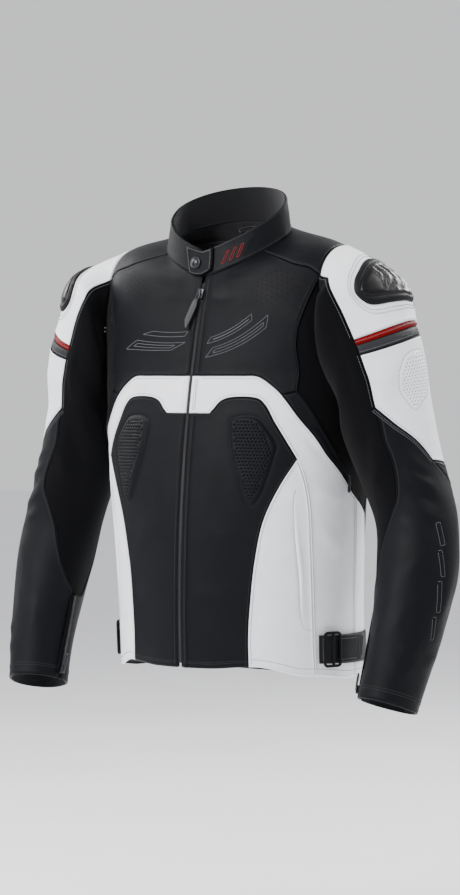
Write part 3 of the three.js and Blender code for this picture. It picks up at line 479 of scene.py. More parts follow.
def hexagons(low, high, pitch):
    rows = np.arange(low[1], high[1], pitch * math.sqrt(3) / 2)
    out = []
    for k, v in enumerate(rows):
        u = np.arange(low[0] + (k % 2) * pitch / 2, high[0], pitch)
        out.append(np.stack([u, np.full(len(u), v)], 1))
    return np.vstack(out)


def filled(outline, pitch, margin):
    """A hexagonal grid of points inside an outline, that margin away from its edge."""
    points = hexagons(outline.min(0), outline.max(0), pitch)
    points = points[inside(outline, points)]
    return points[edge_distance(outline, points) > margin]


def ring_section(radius, sides=8, squash=1.0):
    a = np.linspace(0, 2 * math.pi, sides, endpoint=False)
    return np.stack([radius * np.cos(a), radius * squash * np.sin(a)], 1)


HOLE_SIDES = 8
WELL_SHARE = 0.72                # a well's floor, as a share of its rim


def folds(flat, rows):
    """Rows of pattern points, height and half width, with the points in flat millimetres."""
    return [(flat(points), height, width) for points, height, width in rows]


def leather_edge(d):
    return -1.3 * np.exp(-(d / 0.9) ** 2) + 0.45 * np.exp(-((d - 2.6) / 1.9) ** 2)


def piped_edge(d):
    return -1.2 * np.exp(-(d / 0.7) ** 2) + 1.0 * np.exp(-((d - 1.7) / 1.0) ** 2)


def cloth_edge(d):
    return -1.1 * np.exp(-(d / 1.2) ** 2)


def flat_edge(d):
    return 0 * d


def panel(name, surface, outline, materials, *, relief=None, lift=0.0, thick=2.0, spacing=5.0,
          edge=leather_edge,
          rings=(1.0, 2.2, 4.2), features=(), holes=(), hole_radius=0.95, hole_depth=1.5, gap=0.2):
    """A sewn piece: its flat outline filled with triangles, lifted on the surface, closed at the back."""
    outline = np.asarray(outline, float)
    if area(outline) < 0:
        outline = outline[::-1]
    border = sideways(outline, gap, True)
    ring_points = [sideways(border, r, True) for r in rings]
    ring_points = [p[inside(border, p)] for p in ring_points]
    ring_points = [p[edge_distance(border, p) > 0.9 * r] for p, r in zip(ring_points, rings)]
    grid = filled(border, spacing, (rings[-1] if rings else 0) + spacing * 0.35)
    extra = [np.asarray(f, float) for f in features if len(f)]
    extra = [f[inside(border, f)] for f in extra]
    extra = [f[edge_distance(border, f) > 1.0] if len(f) else f for f in extra]
    unit = ring_section(1.0, HOLE_SIDES)
    holes = np.asarray(holes, float).reshape(-1, 2)
    if len(holes):
        holes = holes[inside(border, holes)]
        holes = holes[edge_distance(border, holes) > 2.0]
    rim = (holes[:, None] + unit * hole_radius).reshape(-1, 2)
    well = (holes[:, None] + unit * hole_radius * WELL_SHARE).reshape(-1, 2)
    fixed = np.vstack([border] + ([rim, well] if len(holes) else []))
    groups = [fixed] + extra + ring_points + [grid]
    spacings = [1.0] * len(extra) + [0.8] * len(ring_points) + [spacing * 0.62]
    points = np.vstack(spread(groups, spacings))
    count = len(border)
    edges = [(i, (i + 1) % count) for i in range(count)]
    for h in range(len(holes)):
        for start in (count + HOLE_SIDES * h, count + HOLE_SIDES * (len(holes) + h)):
            edges += [(start + k, start + (k + 1) % HOLE_SIDES) for k in range(HOLE_SIDES)]
    out = geometry.delaunay_2d_cdt([Vector(p) for p in points.tolist()], edges, [], 1, 1e-5)
    flat = np.array([tuple(v) for v in out[0]])
    faces = np.array([f for f in out[2] if len(f) == 3])
    centre = flat[faces].mean(1)
    faces = faces[inside(border, centre)]
    a, b, c = flat[faces[:, 0]], flat[faces[:, 1]], flat[faces[:, 2]]
    turn = (b[:, 0] - a[:, 0]) * (c[:, 1] - a[:, 1]) - (b[:, 1] - a[:, 1]) * (c[:, 0] - a[:, 0])
    faces = faces[np.abs(turn) > 1e-4]
    turn = turn[np.abs(turn) > 1e-4]
    faces[turn < 0] = faces[turn < 0][:, ::-1]
    d = edge_distance(border, flat)
    height = lift + edge(d)
    if relief is not None:
        height = height + relief(flat)
    colour = np.zeros(len(faces), int)
    if len(holes):
        height = height - hole_depth * (nearest(holes, flat) < hole_radius * 0.8)
        colour = (nearest(holes, flat[faces].mean(1)) < hole_radius * 0.93).astype(int)
    normal = surface.normals(flat)
    base = surface.at(flat)
    top = base + normal * height[:, None]
    under = base + normal * (np.minimum(height, lift + 0.4 * (height - lift)) - thick)[:, None]
    if surface.facing < 0:
        faces = faces[:, ::-1]
    n = len(flat)
    sides = {(int(f[i]), int(f[(i + 1) % 3])): True for f in faces for i in range(3)}
    walls = [(q, p, p + n, q + n) for p, q in sides if (q, p) not in sides]
    all_faces = faces.tolist() + (faces[:, ::-1] + n).tolist() + walls
    back = len(materials) - 1
    index = np.concatenate([colour if len(materials) > 1 else colour * 0,
                            np.full(len(faces), back), np.zeros(len(walls), int)])
    obj = new_mesh(name, np.vstack([top, under]), all_faces, materials, index, np.vstack([flat, flat]))
    if len(holes):
        obj.data.polygons.foreach_set("use_smooth", index != 1)      # the holes keep a sharp rim
    return obj


def frames(surface, line, lift, relief=None):
    """Points on the surface along a flat line, with the direction along it, across it and out."""
    height = np.full(len(line), float(lift)) if np.ndim(lift) == 0 else np.asarray(lift, float)
    if relief is not None:
        height = height + relief(line)
    out = surface.normals(line)
    points = surface.at(line) + out * height[:, None]
    along = np.gradient(points, axis=0)
    along /= np.maximum(np.linalg.norm(along, axis=1, keepdims=True), 1e-9)
    across = np.cross(out, along)
    across /= np.maximum(np.linalg.norm(across, axis=1, keepdims=True), 1e-9)
    return points, along, across, np.cross(along, across)


def loft(rings, sides, closed=False):
    """Faces that join rings of points one after the other, with a flat face at both ends unless closed."""
    faces = []
    for s in range(rings if closed else rings - 1):
        t = (s + 1) % rings
        for i in range(sides):
            j = (i + 1) % sides
            faces.append((s * sides + i, s * sides + j, t * sides + j, t * sides + i))
    if not closed:
        faces.append(tuple(range(sides - 1, -1, -1)))
        faces.append(tuple((rings - 1) * sides + i for i in range(sides)))
    return faces


def swept(points, across, out, section, closed=False):
    """Vertices and faces of a section (pairs across, out) carried along points."""
    section = np.array(section, float)
    vertices = points[:, None] + section[None, :, :1] * across[:, None] + section[None, :, 1:] * out[:,
            None]
    return vertices.reshape(-1, 3), loft(len(points), len(section), closed)


class Bundle:
    """Many small parts kept as one mesh."""

    def __init__(self):
        self.vertices, self.faces, self.count = [], [], 0

    def add(self, vertices, faces):
        self.vertices.append(vertices)
        self.faces += [tuple(i + self.count for i in f) for f in faces]
        self.count += len(vertices)

    def make(self, name, materials, smooth_shade=True):
        return new_mesh(name, np.vstack(self.vertices), self.faces, materials, smooth_shade=smooth_shade)


STITCH_SIDES = 5
STITCH_SECTION = ring_section(1.0, STITCH_SIDES)
STITCH_SHARES = np.array([0, 0.16, 0.5, 0.84, 1.0])            # rings along one stitch
STITCH_WIDTHS = np.array([0.35, 0.9, 1.0, 0.9, 0.35])
STITCH_SINKS = np.array([-0.9, -0.15, 0.1, -0.15, -0.9])
STITCH_FACES = loft(len(STITCH_SHARES), STITCH_SIDES)
STITCH_POINTS = len(STITCH_SHARES) * STITCH_SIDES


def stitch_row(bundle, surface, line, lift=0.35, relief=None, pitch=3.6, length=2.7, radius=0.36):
    line = resample(line, 1.2)
    points, along, across, out = frames(surface, line, lift, relief)
    at = np.concatenate([[0], np.cumsum(np.linalg.norm(np.diff(points, axis=0), axis=1))])
    starts = np.arange(0.4, at[-1] - length, pitch)
    if not len(starts):
        return
    width = STITCH_WIDTHS * radius
    where = starts[:, None] + STITCH_SHARES * length

    def along_line(values):
        return np.stack([np.interp(where, at, values[:, k]) for k in range(3)], -1)
    p, a, o = along_line(points), along_line(across), along_line(out)
    p = p + o * (STITCH_SINKS * radius)[None, :, None]
    rings = (p[:, :, None] + STITCH_SECTION[None, None, :, :1] * a[:, :, None] * width[None, :, None, None]
             + STITCH_SECTION[None, None, :, 1:] * o[:, :, None] * width[None, :, None, None])
    faces = [tuple(s * STITCH_POINTS + i for i in face) for s in range(len(starts))
             for face in STITCH_FACES]
    bundle.add(rings.reshape(-1, 3), faces)


def tube(bundle, surface, line, lift, radius, relief=None, sides=8, squash=1.0, closed=False):
    line = resample(line, 2.2, closed)
    points, along, across, out = frames(surface, np.vstack([line[-1:], line, line[:1]]) if closed else line,
                                        lift, relief)
    if closed:
        points, across, out = points[1:-1], across[1:-1], out[1:-1]
    bundle.add(*swept(points, across, out, ring_section(radius, sides, squash), closed))


# ---- materials -----------------------------------------------------------------------------------
def colour(r, g, b, a=1.0):
    """A display colour, 0 to 255, as the linear colour that a shader takes."""
    def linear(c):
        c = c / 255
        return c / 12.92 if c <= 0.04045 else ((c + 0.055) / 1.055) ** 2.4
    return (linear(r), linear(g), linear(b), a)


class Nodes:
    def __init__(self, name):
        self.material = bpy.data.materials.new(name)
        self.material.use_nodes = True
        self.tree = self.material.node_tree
        self.shader = self.tree.nodes["Principled BSDF"]

    def add(self, kind, **values):
        node = self.tree.nodes.new(kind)
        for key, value in values.items():
            if key.startswith("in_"):
                node.inputs[key[3:].replace("_", " ")].default_value = value
            else:
                setattr(node, key, value)
        return node

    def link(self, a, b):
        self.tree.links.new(a, b)

    def maths(self, operation, a, b=None, clamp=False):
        node = self.add("ShaderNodeMath", operation=operation, use_clamp=clamp)
        for i, value in enumerate((a, b)):
            if value is None:
                continue
            if isinstance(value, (int, float)):
                node.inputs[i].default_value = value
            else:
                self.link(value, node.inputs[i])
        return node.outputs[0]

    def flat_coordinates(self, has_uv=True):
        node = self.add("ShaderNodeTexCoord")
        return node.outputs["UV" if has_uv else "Object"]

    def noise(self, vector, scale, detail=3.0, roughness=0.5):
        node = self.add("ShaderNodeTexNoise", in_Scale=scale, in_Detail=detail, in_Roughness=roughness)
        self.link(vector, node.inputs["Vector"])
        return node.outputs["Fac"]

    def cells(self, vector, scale, feature="DISTANCE_TO_EDGE"):
        node = self.add("ShaderNodeTexVoronoi", feature=feature, in_Scale=scale)
        self.link(vector, node.inputs["Vector"])
        return node.outputs["Distance"]

    def ramp(self, value, low, high, a, b):
        node = self.add("ShaderNodeMapRange")
        self.link(value, node.inputs[0])
        for i, number in zip((1, 2, 3, 4), (low, high, a, b)):
            node.inputs[i].default_value = number
        return node.outputs[0]

    def mix(self, factor, a, b):
        node = self.add("ShaderNodeMix", data_type="RGBA")
        for socket, value in ((node.inputs[0], factor), (node.inputs[6], a), (node.inputs[7], b)):
            if isinstance(value, (tuple, float, int)):
                socket.default_value = value
            else:
                self.link(value, socket)
        return node.outputs[2]

    def bump(self, height, strength, distance, normal=None):
        node = self.add("ShaderNodeBump", in_Strength=strength, in_Distance=distance)
        self.link(height, node.inputs["Height"])
        if normal is not None:
            self.link(normal, node.inputs["Normal"])
        return node.outputs[0]


def leather(name, tone, dark, rough=0.5, grain=1150.0, depth=0.00012, has_uv=True, specular=0.42):
    n = Nodes(name)
    where = n.flat_coordinates(has_uv)
    pebble = n.cells(where, grain)
    pores = n.noise(where, grain * 2.4, 2.0)
    slow = n.noise(where, 22.0, 4.0, 0.6)
    fine = n.noise(where, 240.0, 3.0, 0.6)
    crease = n.ramp(pebble, 0.0, 0.12, 0.0, 1.0)
    shade = n.maths("MULTIPLY", n.ramp(slow, 0.3, 0.7, 0.0, 0.55), n.ramp(fine, 0.2, 0.8, 0.6, 1.0))
    base = n.mix(shade, colour(*tone), colour(*dark))
    # the grain's cell edges, which the bump below sinks, are painted darker here: painted shade in the
    # grain's creases
    base = n.mix(n.maths("MULTIPLY", n.maths("SUBTRACT", 1.0, crease), 0.35), base, colour(*dark))
    n.link(base, n.shader.inputs["Base Color"])
    n.link(n.ramp(n.maths("ADD", slow, n.maths("MULTIPLY", fine, 0.5)), 0.4, 1.1, rough - 0.07,
                  rough + 0.1),
           n.shader.inputs["Roughness"])
    n.shader.inputs["Specular IOR Level"].default_value = specular
    first = n.bump(n.maths("ADD", crease, n.maths("MULTIPLY", pores, 0.4)), 0.5, depth)
    n.link(n.bump(slow, 0.35, 0.0015, first), n.shader.inputs["Normal"])
    return n.material


def woven(name, tone, dark, thread=0.0009, rough=0.85, depth=0.00025, sheen=0.25, has_uv=True):
    """A stretch textile: fine diagonal ribs of small loops."""
    n = Nodes(name)
    where = n.flat_coordinates(has_uv)
    split = n.add("ShaderNodeSeparateXYZ")
    n.link(where, split.inputs[0])
    across, up = split.outputs[0], split.outputs[1]
    turn = 2 * math.pi / thread
    lean = n.maths("ADD", across, n.maths("MULTIPLY", up, 0.6))
    ribs = n.maths("SINE", n.maths("MULTIPLY", lean, turn))
    lean = n.maths("SUBTRACT", up, n.maths("MULTIPLY", across, 0.35))
    loops = n.maths("SINE", n.maths("MULTIPLY", lean, turn * 0.8))
    weave = n.maths("ADD", n.maths("MULTIPLY", ribs, 0.5), n.maths("MULTIPLY", loops, 0.4))
    slow = n.noise(where, 30.0, 4.0, 0.6)
    fuzz = n.noise(where, 1800.0, 2.0)
    # the grooves between ribs and loops, which the bump below sinks, are painted darker: painted shade in
    # the weave
    base = n.mix(n.ramp(weave, -0.9, 0.9, 0.75, 0.0), colour(*tone), colour(*dark))
    base = n.mix(n.ramp(slow, 0.35, 0.7, 0.0, 0.35), base, colour(*dark))
    n.link(base, n.shader.inputs["Base Color"])
    n.link(n.ramp(fuzz, 0.2, 0.8, rough - 0.06, rough + 0.08), n.shader.inputs["Roughness"])
    n.shader.inputs["Sheen Weight"].default_value = sheen
    n.shader.inputs["Sheen Roughness"].default_value = 0.5
    n.shader.inputs["Specular IOR Level"].default_value = 0.06
    n.link(n.bump(n.maths("ADD", weave, n.maths("MULTIPLY", fuzz, 0.5)), 0.6, depth),
           n.shader.inputs["Normal"])
    return n.material


def moulded(name, tone, rough, coat=0.0, speckle=700.0, depth=0.00008, metal=0.0, wear=(90, 90, 94),
            specular=0.4):
    n = Nodes(name)
    where = n.flat_coordinates(False)
    grain = n.noise(where, speckle, 3.0, 0.6)
    slow = n.noise(where, 35.0, 3.0, 0.6)
    scratch = n.noise(where, 160.0, 5.0, 0.75)
    base = n.mix(n.ramp(slow, 0.3, 0.75, 0.0, 0.35), colour(*tone),
                 colour(*[min(255, t + 16) for t in tone]))
    base = n.mix(n.ramp(scratch, 0.66, 0.8, 0.0, 0.5), base, colour(*wear))
    n.link(base, n.shader.inputs["Base Color"])
    n.link(n.ramp(scratch, 0.3, 0.75, max(rough - 0.05, 0.04), rough + 0.12), n.shader.inputs["Roughness"])
    n.shader.inputs["Metallic"].default_value = metal
    n.shader.inputs["Specular IOR Level"].default_value = specular
    n.shader.inputs["Coat Weight"].default_value = coat
    n.shader.inputs["Coat Roughness"].default_value = 0.12
    n.link(n.bump(grain, 0.35, depth), n.shader.inputs["Normal"])
    return n.material


def thread(name, tone):
    n = Nodes(name)
    where = n.flat_coordinates(False)
    twist = n.noise(where, 2600.0, 2.0)
    base = n.mix(n.ramp(twist, 0.3, 0.7, 0.0, 1.0), colour(*tone), colour(*[t * 0.6 for t in tone]))
    n.link(base, n.shader.inputs["Base Color"])
    n.shader.inputs["Roughness"].default_value = 0.7
    n.link(n.bump(twist, 0.5, 0.0001), n.shader.inputs["Normal"])
    return n.material


BLACK = leather("leather_black", (12, 13, 17), (6, 6, 9), rough=0.45, specular=0.1)
WHITE = leather("leather_white", (246, 247, 250), (218, 220, 226), rough=0.42, grain=900.0, depth=0.0001)
RED = leather("leather_red", (116, 2, 4), (88, 1, 2), rough=0.5, specular=0.08)
GREY = leather("leather_grey", (44, 44, 47), (32, 32, 35), rough=0.5, specular=0.12)
STRETCH = woven("stretch_textile", (9, 9, 12), (4, 4, 5), sheen=0.03)
RIB = woven("ribbed_knit", (22, 22, 26), (9, 9, 11), thread=0.0016, depth=0.0004)
LINING = woven("mesh_lining", (40, 40, 44), (12, 12, 14), thread=0.0024, depth=0.0006, sheen=0.15)
WEBBING = woven("strap_webbing", (20, 20, 23), (8, 8, 9), thread=0.0013, depth=0.0005)
HOLE = moulded("hole_shadow", (3, 3, 4), 0.95, wear=(4, 4, 5), specular=0.05)
PALE_HOLE = moulded("hole_shadow_pale", (34, 34, 38), 0.9, wear=(44, 44, 48), specular=0.05)
GLOSS = moulded("armour_gloss", (3, 3, 5), 0.34, coat=0.03, specular=0.2, wear=(30, 30, 34))
MATT = moulded("armour_matt", (9, 9, 11), 0.5, wear=(16, 16, 18), specular=0.15)
RUBBER = moulded("pull_rubber", (17, 17, 19), 0.5, wear=(40, 40, 44))
METAL = moulded("hardware_black", (46, 46, 50), 0.3, metal=0.85, wear=(120, 120, 126))
TEETH = moulded("zip_teeth", (24, 24, 27), 0.3, coat=0.4, wear=(70, 70, 76))
DARK_THREAD = thread("thread_black", (44, 44, 49))
GREY_THREAD = thread("thread_grey", (126, 126, 131))
WHITE_THREAD = thread("thread_white", (122, 124, 132))
RED_THREAD = thread("thread_red", (180, 14, 18))

# ---- camera, floor and light: first, so that every look is at the photograph's framing -----------
CAMERA_TURN = math.radians(33)
CAMERA_DISTANCE = 4.0
AIM = Vector((0.0, -0.0502, -0.2025))
MM_PER_PIXEL = 1.40
IMAGE_WIDTH, IMAGE_HEIGHT = 460, 895
PRINCIPAL = (235.0, 373.3)


def make_camera():
    data = bpy.data.cameras.new("camera")
    data.sensor_fit = "VERTICAL"
    data.sensor_height = 36
    data.lens = CAMERA_DISTANCE * 1000 / MM_PER_PIXEL * 36 / IMAGE_HEIGHT
    data.shift_x = (IMAGE_WIDTH / 2 - PRINCIPAL[0]) / IMAGE_HEIGHT
    data.shift_y = (PRINCIPAL[1] - IMAGE_HEIGHT / 2) / IMAGE_HEIGHT
    data.clip_end = 50
    camera = bpy.data.objects.new("camera", data)
    bpy.context.scene.collection.objects.link(camera)
    away = Vector((math.sin(CAMERA_TURN), -math.cos(CAMERA_TURN), 0))
    camera.location = AIM + away * CAMERA_DISTANCE
    camera.rotation_euler = (math.pi / 2, 0, CAMERA_TURN)
    bpy.context.scene.camera = camera


def make_light(name, place, size, power, tone=(1, 1, 1)):
    data = bpy.data.lights.new(name, "AREA")
    data.shape = "RECTANGLE"
    data.size, data.size_y = size
    data.energy = power
    data.color = tone
    light = bpy.data.objects.new(name, data)
    bpy.context.scene.collection.objects.link(light)
    light.location = place
    light.rotation_euler = (AIM - Vector(place)).to_track_quat("-Z", "Y").to_euler()


FLOOR_HALF, FLOOR_Z = 14.0, -1.10


def make_stage():
    n = Nodes("studio_floor")
    where = n.flat_coordinates(False)
    n.link(n.mix(n.ramp(n.noise(where, 3.0), 0.3, 0.7, 0.0, 1.0), colour(244, 244, 246),
                 colour(240, 240, 242)),
           n.shader.inputs["Base Color"])
    n.shader.inputs["Roughness"].default_value = 0.9
    vertices = [(x * FLOOR_HALF, y * FLOOR_HALF, FLOOR_Z) for x, y in ((-1, -1), (1, -1), (1, 1), (-1, 1))]
    mesh = bpy.data.meshes.new("studio_floor")
    mesh.from_pydata(vertices, [], [(0, 1, 2, 3)])
    mesh.materials.append(n.material)
    floor = bpy.data.objects.new("studio_floor", mesh)
    bpy.context.scene.collection.objects.link(floor)
    world = bpy.data.worlds.new("studio")
    world.use_nodes = True
    world.node_tree.nodes["Background"].inputs["Color"].default_value = (0.97, 0.98, 1.0, 1)
    world.node_tree.nodes["Background"].inputs["Strength"].default_value = 0.85
    bpy.context.scene.world = world


make_camera()
make_stage()
make_light("key", (-0.9, -3.1, 1.5), (1.3, 1.3), 170)
make_light("rim_left", (2.2, 0.7, 2.0), (0.8, 1.6), 60)
make_light("rim_right", (-2.6, 0.2, 1.3), (0.8, 1.8), 75)
make_light("back", (0.5, 3.1, 1.6), (1.3, 1.3), 100)


# ---- torso pattern: smooth seam lines of the left half -------------------------------------------
def hem_height(turn):
    t = np.abs(turn)
    return 3 * smooth(15, 34, t) - 14 * smooth(36, 62, t) - 7 * smooth(62, 95, t)


def hem(start, end):
    turn = np.linspace(start, end, max(3, int(abs(end - start))))
    return torso_flat(np.stack([turn, hem_height(turn)], 1))


def armhole(start, end):
    phi = np.radians(np.linspace(start, end, max(3, int(abs(end - start) / 2.5))))
    turn, height = armhole_point(phi)
    return torso_flat(np.stack([turn, height], 1))


def zip_line(start, end, x):
    """The flat line that runs beside the closed zip at that distance from the middle."""
    heights = np.linspace(start, end, max(3, int(abs(end - start) / 3)))
    low, high = np.zeros(len(heights)), np.full(len(heights), 60.0)
    for _ in range(40):
        middle = (low + high) / 2
        less = torso_point(middle, heights)[..., 0] < x
        low, high = np.where(less, middle, low), np.where(less, high, middle)
    return torso_flat(np.stack([low, heights], 1))


ZIP_SIDE = 2.0
CORNER = armhole(60, 60.01)[0]
TOP = 603.0
YOKE_LINE = np.vstack([smooth_line(torso_flat([[58, TOP], [59, 551], [60, 528], [63.5, 508]])), [CORNER]])
CHEST_EDGE = smooth_line(np.vstack([[CORNER],
                                    torso_flat([[54, 463], [47, 442], [44.5, 423], [45.4, 400],
                                            [45.5, 376]])]))
STRIP_START = torso_flat([[45.5, 376], [39.5, 372]])
STRIP_EDGE = smooth_line(torso_flat([[45.5, 376], [52.5, 357], [63.5, 322], [77, 283], [86, 256],
                                     [92, 232]]))
BAND_TOP = smooth_line(np.vstack([zip_line(397, 397.5, ZIP_SIDE)[:1], torso_flat(
    [[19, 397], [26, 396], [33, 384], [39, 370], [48.5, 342], [60, 313], [69.5, 288], [80.5, 263],
     [92, 232]])]))
SPLIT = int(np.argmin(np.linalg.norm(BAND_TOP - torso_flat([[39, 370]]), axis=1)))
BAND_LOW = np.vstack([zip_line(346, 346.5, ZIP_SIDE)[:1], smooth_line(torso_flat(
    [[7.5, 346], [9, 351], [11.5, 362], [15, 367], [27.5, 366], [31.5, 357], [37, 334], [45, 305],
     [51, 284]]))])
SIDE_LINE = smooth_line(torso_flat([[92, 232], [94.5, 178], [96.5, 88], [97.5, hem_height(97.5)]]))
LOWER_LINE = smooth_line(torso_flat([[51, 284], [45, 255], [40, 222], [37.5, 195], [36, 150], [35, 100],
                                     [34, 50],
                                     [34, hem_height(34)]]))
POCKET_LINE = smooth_line(torso_flat([[51, 284], [56, 258], [60, 223], [63, 152], [65, 60],
                                      [66, hem_height(66)]]))
BACK_TOP = smooth_line(torso_flat([[92, 232], [101.5, 215], [105, 208]]))
BACK_SIDE_LINE = smooth_line(torso_flat([[105, 208], [112, 150], [116, 60], [117, hem_height(117)]]))
ARM_BACK_LINE = smooth_line(np.vstack([armhole(270, 270.01)[:1],
                                       torso_flat([[126, 405], [122, 330], [113, 262], [105, 208]])]))
BACK_YOKE_LINE = smooth_line(np.vstack([armhole(295, 295.01)[:1],
                                        torso_flat([[140, 468], [160, 461], [180, 459]])]))


def full_back(line):
    """The same line on the other half, counted on round the back."""
    return np.stack([360 * TORSO_UNIT - line[:, 0], line[:, 1]], 1)


PAD_LEFT = smooth_line(torso_flat([[16, 336], [20.5, 342], [28.5, 340], [32, 331], [39.5, 302], [39, 288],
                                   [34.5, 232],
                                   [31.5, 222], [28.5, 227], [24, 255], [18.5, 296], [16, 336]]), 3)[:-1]
PAD_HOLES = filled(PAD_LEFT, 5.2, 6.5)
PAD_FEATURES = np.vstack([PAD_LEFT] + [sideways(PAD_LEFT, r, True) for r in (-4.5, -2, 1.6, 3.4)])
POCKET_STITCH = smooth_line(torso_flat([[52.4, 243], [51.5, 235], [53, 197], [57, 124], [58.5, 68],
                                        [60.2, 55], [64.8, 51]]))

FRONT_FOLDS = folds(torso_flat, [
    ([[50, 330], [58, 322], [70, 300]], 1.4, 7), ([[44, 352], [56, 330], [62, 318]], -0.9, 5),
    ([[52, 318], [60, 300], [74, 278]], -1.1, 6), ([[60, 240], [76, 232], [90, 226]], 1.1, 9),
    ([[64, 200], [78, 168], [92, 160]], 1.3, 12), ([[40, 470], [50, 440], [52, 410]], 1.2, 9),
    ([[5, 560], [16, 540], [30, 535]], 0.8, 9), ([[14, 585], [30, 560], [50, 552]], 1.0, 10),
    ([[6, 190], [18, 180], [30, 160]], 1.0, 14), ([[4, 90], [16, 100], [32, 84]], 1.0, 12),
    ([[66, 60], [80, 72], [96, 64]], 1.2, 12), ([[10, 330], [12, 250], [9, 170]], 0.8, 10),
    ([[62, 410], [70, 380], [84, 340]], 2.2, 8), ([[56, 430], [66, 395], [76, 372]], -1.6, 7),
    ([[70, 330], [84, 300], [98, 262]], 1.8, 8), ([[100, 330], [104, 290], [100, 240]], 1.6, 9),
])
BACK_FOLDS = folds(torso_flat, [
    ([[128, 380], [150, 360], [170, 366]], 1.6, 12), ([[122, 250], [140, 240], [165, 246]], 1.8, 13),
    ([[120, 190], [145, 176], [176, 184]], -1.4, 12), ([[118, 110], [140, 124], [172, 116]], 1.8, 14),
    ([[130, 60], [150, 52], [176, 58]], -1.2, 12),
])
POCKET_FOLDS = [(line + [turn * across, 0], height, width)
                for turn, line in ((1, POCKET_STITCH), (-1, mirrored(POCKET_STITCH)))
                for across, height, width in ((4.5, 1.7, 3.4), (0.0, -1.3, 1.3))]
POCKET_FEATURES = np.vstack([POCKET_STITCH + [across, 0] for across in (-2.0, -1.0, 0.0, 1.0, 2.2, 4.5,
        7.0)])
FOLD_RELIEF = Relief(
    [(line, height * 1.4, width) for line, height, width in FRONT_FOLDS]
    + [(mirrored(line) + [0, 6], height * 1.3, width) for line, height, width in FRONT_FOLDS] + POCKET_FOLDS
    + [(line, height * 1.4, width) for line, height, width in BACK_FOLDS]
    + [(full_back(line) + [0, -7], height * 1.1, width) for line, height, width in BACK_FOLDS],
    [((0.018, 0.011, 0.4), 0.5), ((-0.013, 0.023, 1.9), 0.4), ((0.031, -0.017, 2.7), 0.25)],
    [(PAD_LEFT, 3.4, 16), (mirrored(PAD_LEFT), 3.4, 16)])

PLACKET = {1: 13.0, -1: 8.5}       # width of the folded front edge, wearer's left and right
PLACKET_HEIGHTS = np.arange(0.0, 606.0, 6.0)
PLACKET_SCALE = np.array([zip_line(h, h + 0.1, 13.0)[0, 0] / 13.0 for h in PLACKET_HEIGHTS])
PLACKET_LINES = {turn: np.vstack([zip_line(1, TOP, width + r) * [turn, 1] for r in (-2.2, -1.1, 0.0, 1.1,
        2.2)])
                 for turn, width in PLACKET.items()}


def torso_relief(flat):
    """The shared folds, with the two front edges turned over and sewn down beside the zip."""
    from_zip = flat[:, 0] / np.interp(flat[:, 1], PLACKET_HEIGHTS, PLACKET_SCALE)
    width = np.where(from_zip > 0, PLACKET[1], PLACKET[-1])
    s = np.abs(from_zip)
    folded = 1.1 * smooth(5.8, 7.4,
                          s) * (1 - smooth(-1.4, -0.2, s - width)) - 0.8 * np.exp(-((s - width) / 0.8) ** 2)
    return FOLD_RELIEF(flat) * smooth(3, 12, s) + np.where(s < 20, folded, 0)


THREADS = {"black": DARK_THREAD, "white": WHITE_THREAD, "grey": GREY_THREAD}
SEAMS = {tone: Bundle() for tone in THREADS}
PIPING = Bundle()


def settle(obj, rides, slot=None, *nodes):
    """Hangs a piece on the empty of the body that it rides and hides the CAD nodes that it takes the place
    of; slot is not used.
    """
    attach(obj, rides)
    if nodes:
        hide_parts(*nodes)


def torso_panel(name, node, slot, outline, materials, **options):
    obj = panel(name, TORSO, outline, materials, relief=torso_relief, **options)
    settle(obj, "root", slot, node)


CHEST = join(zip_line(397, TOP, ZIP_SIDE), YOKE_LINE, CHEST_EDGE, STRIP_START, BAND_TOP[SPLIT::-1])
BAND = join(zip_line(346, 397, ZIP_SIDE), BAND_TOP, SIDE_LINE, hem(97.5, 66), POCKET_LINE[::-1],
            BAND_LOW[::-1])
LOWER = join(zip_line(1, 346, ZIP_SIDE), BAND_LOW, LOWER_LINE, hem(34, 2))
POCKET = join(POCKET_LINE, hem(66, 34), LOWER_LINE[::-1])
STRIP = join(STRIP_START[::-1], STRIP_EDGE, BAND_TOP[:SPLIT - 1:-1])
SIDE_CLOTH = join(CHEST_EDGE, STRIP_EDGE, BACK_TOP, ARM_BACK_LINE[::-1], armhole(270, 60))
BACK_SIDE = join(BACK_TOP, BACK_SIDE_LINE, hem(117, 97.5), SIDE_LINE[::-1])
BACK_OUT = join(BACK_YOKE_LINE[::-1], armhole(295, 270), ARM_BACK_LINE, BACK_SIDE_LINE, hem(117, 243),
                full_back(BACK_SIDE_LINE)[::-1], full_back(ARM_BACK_LINE)[::-1],
                full_back(armhole(270, 295)),
                full_back(BACK_YOKE_LINE))
YOKE_OUT = join(torso_flat([[180, TOP], [120, TOP], [58, TOP]]), YOKE_LINE, armhole(60, -65),
                BACK_YOKE_LINE,
                full_back(BACK_YOKE_LINE)[::-1], full_back(armhole(-65, 60)), full_back(YOKE_LINE)[::-1],
                torso_flat([[302, TOP], [240, TOP]]))

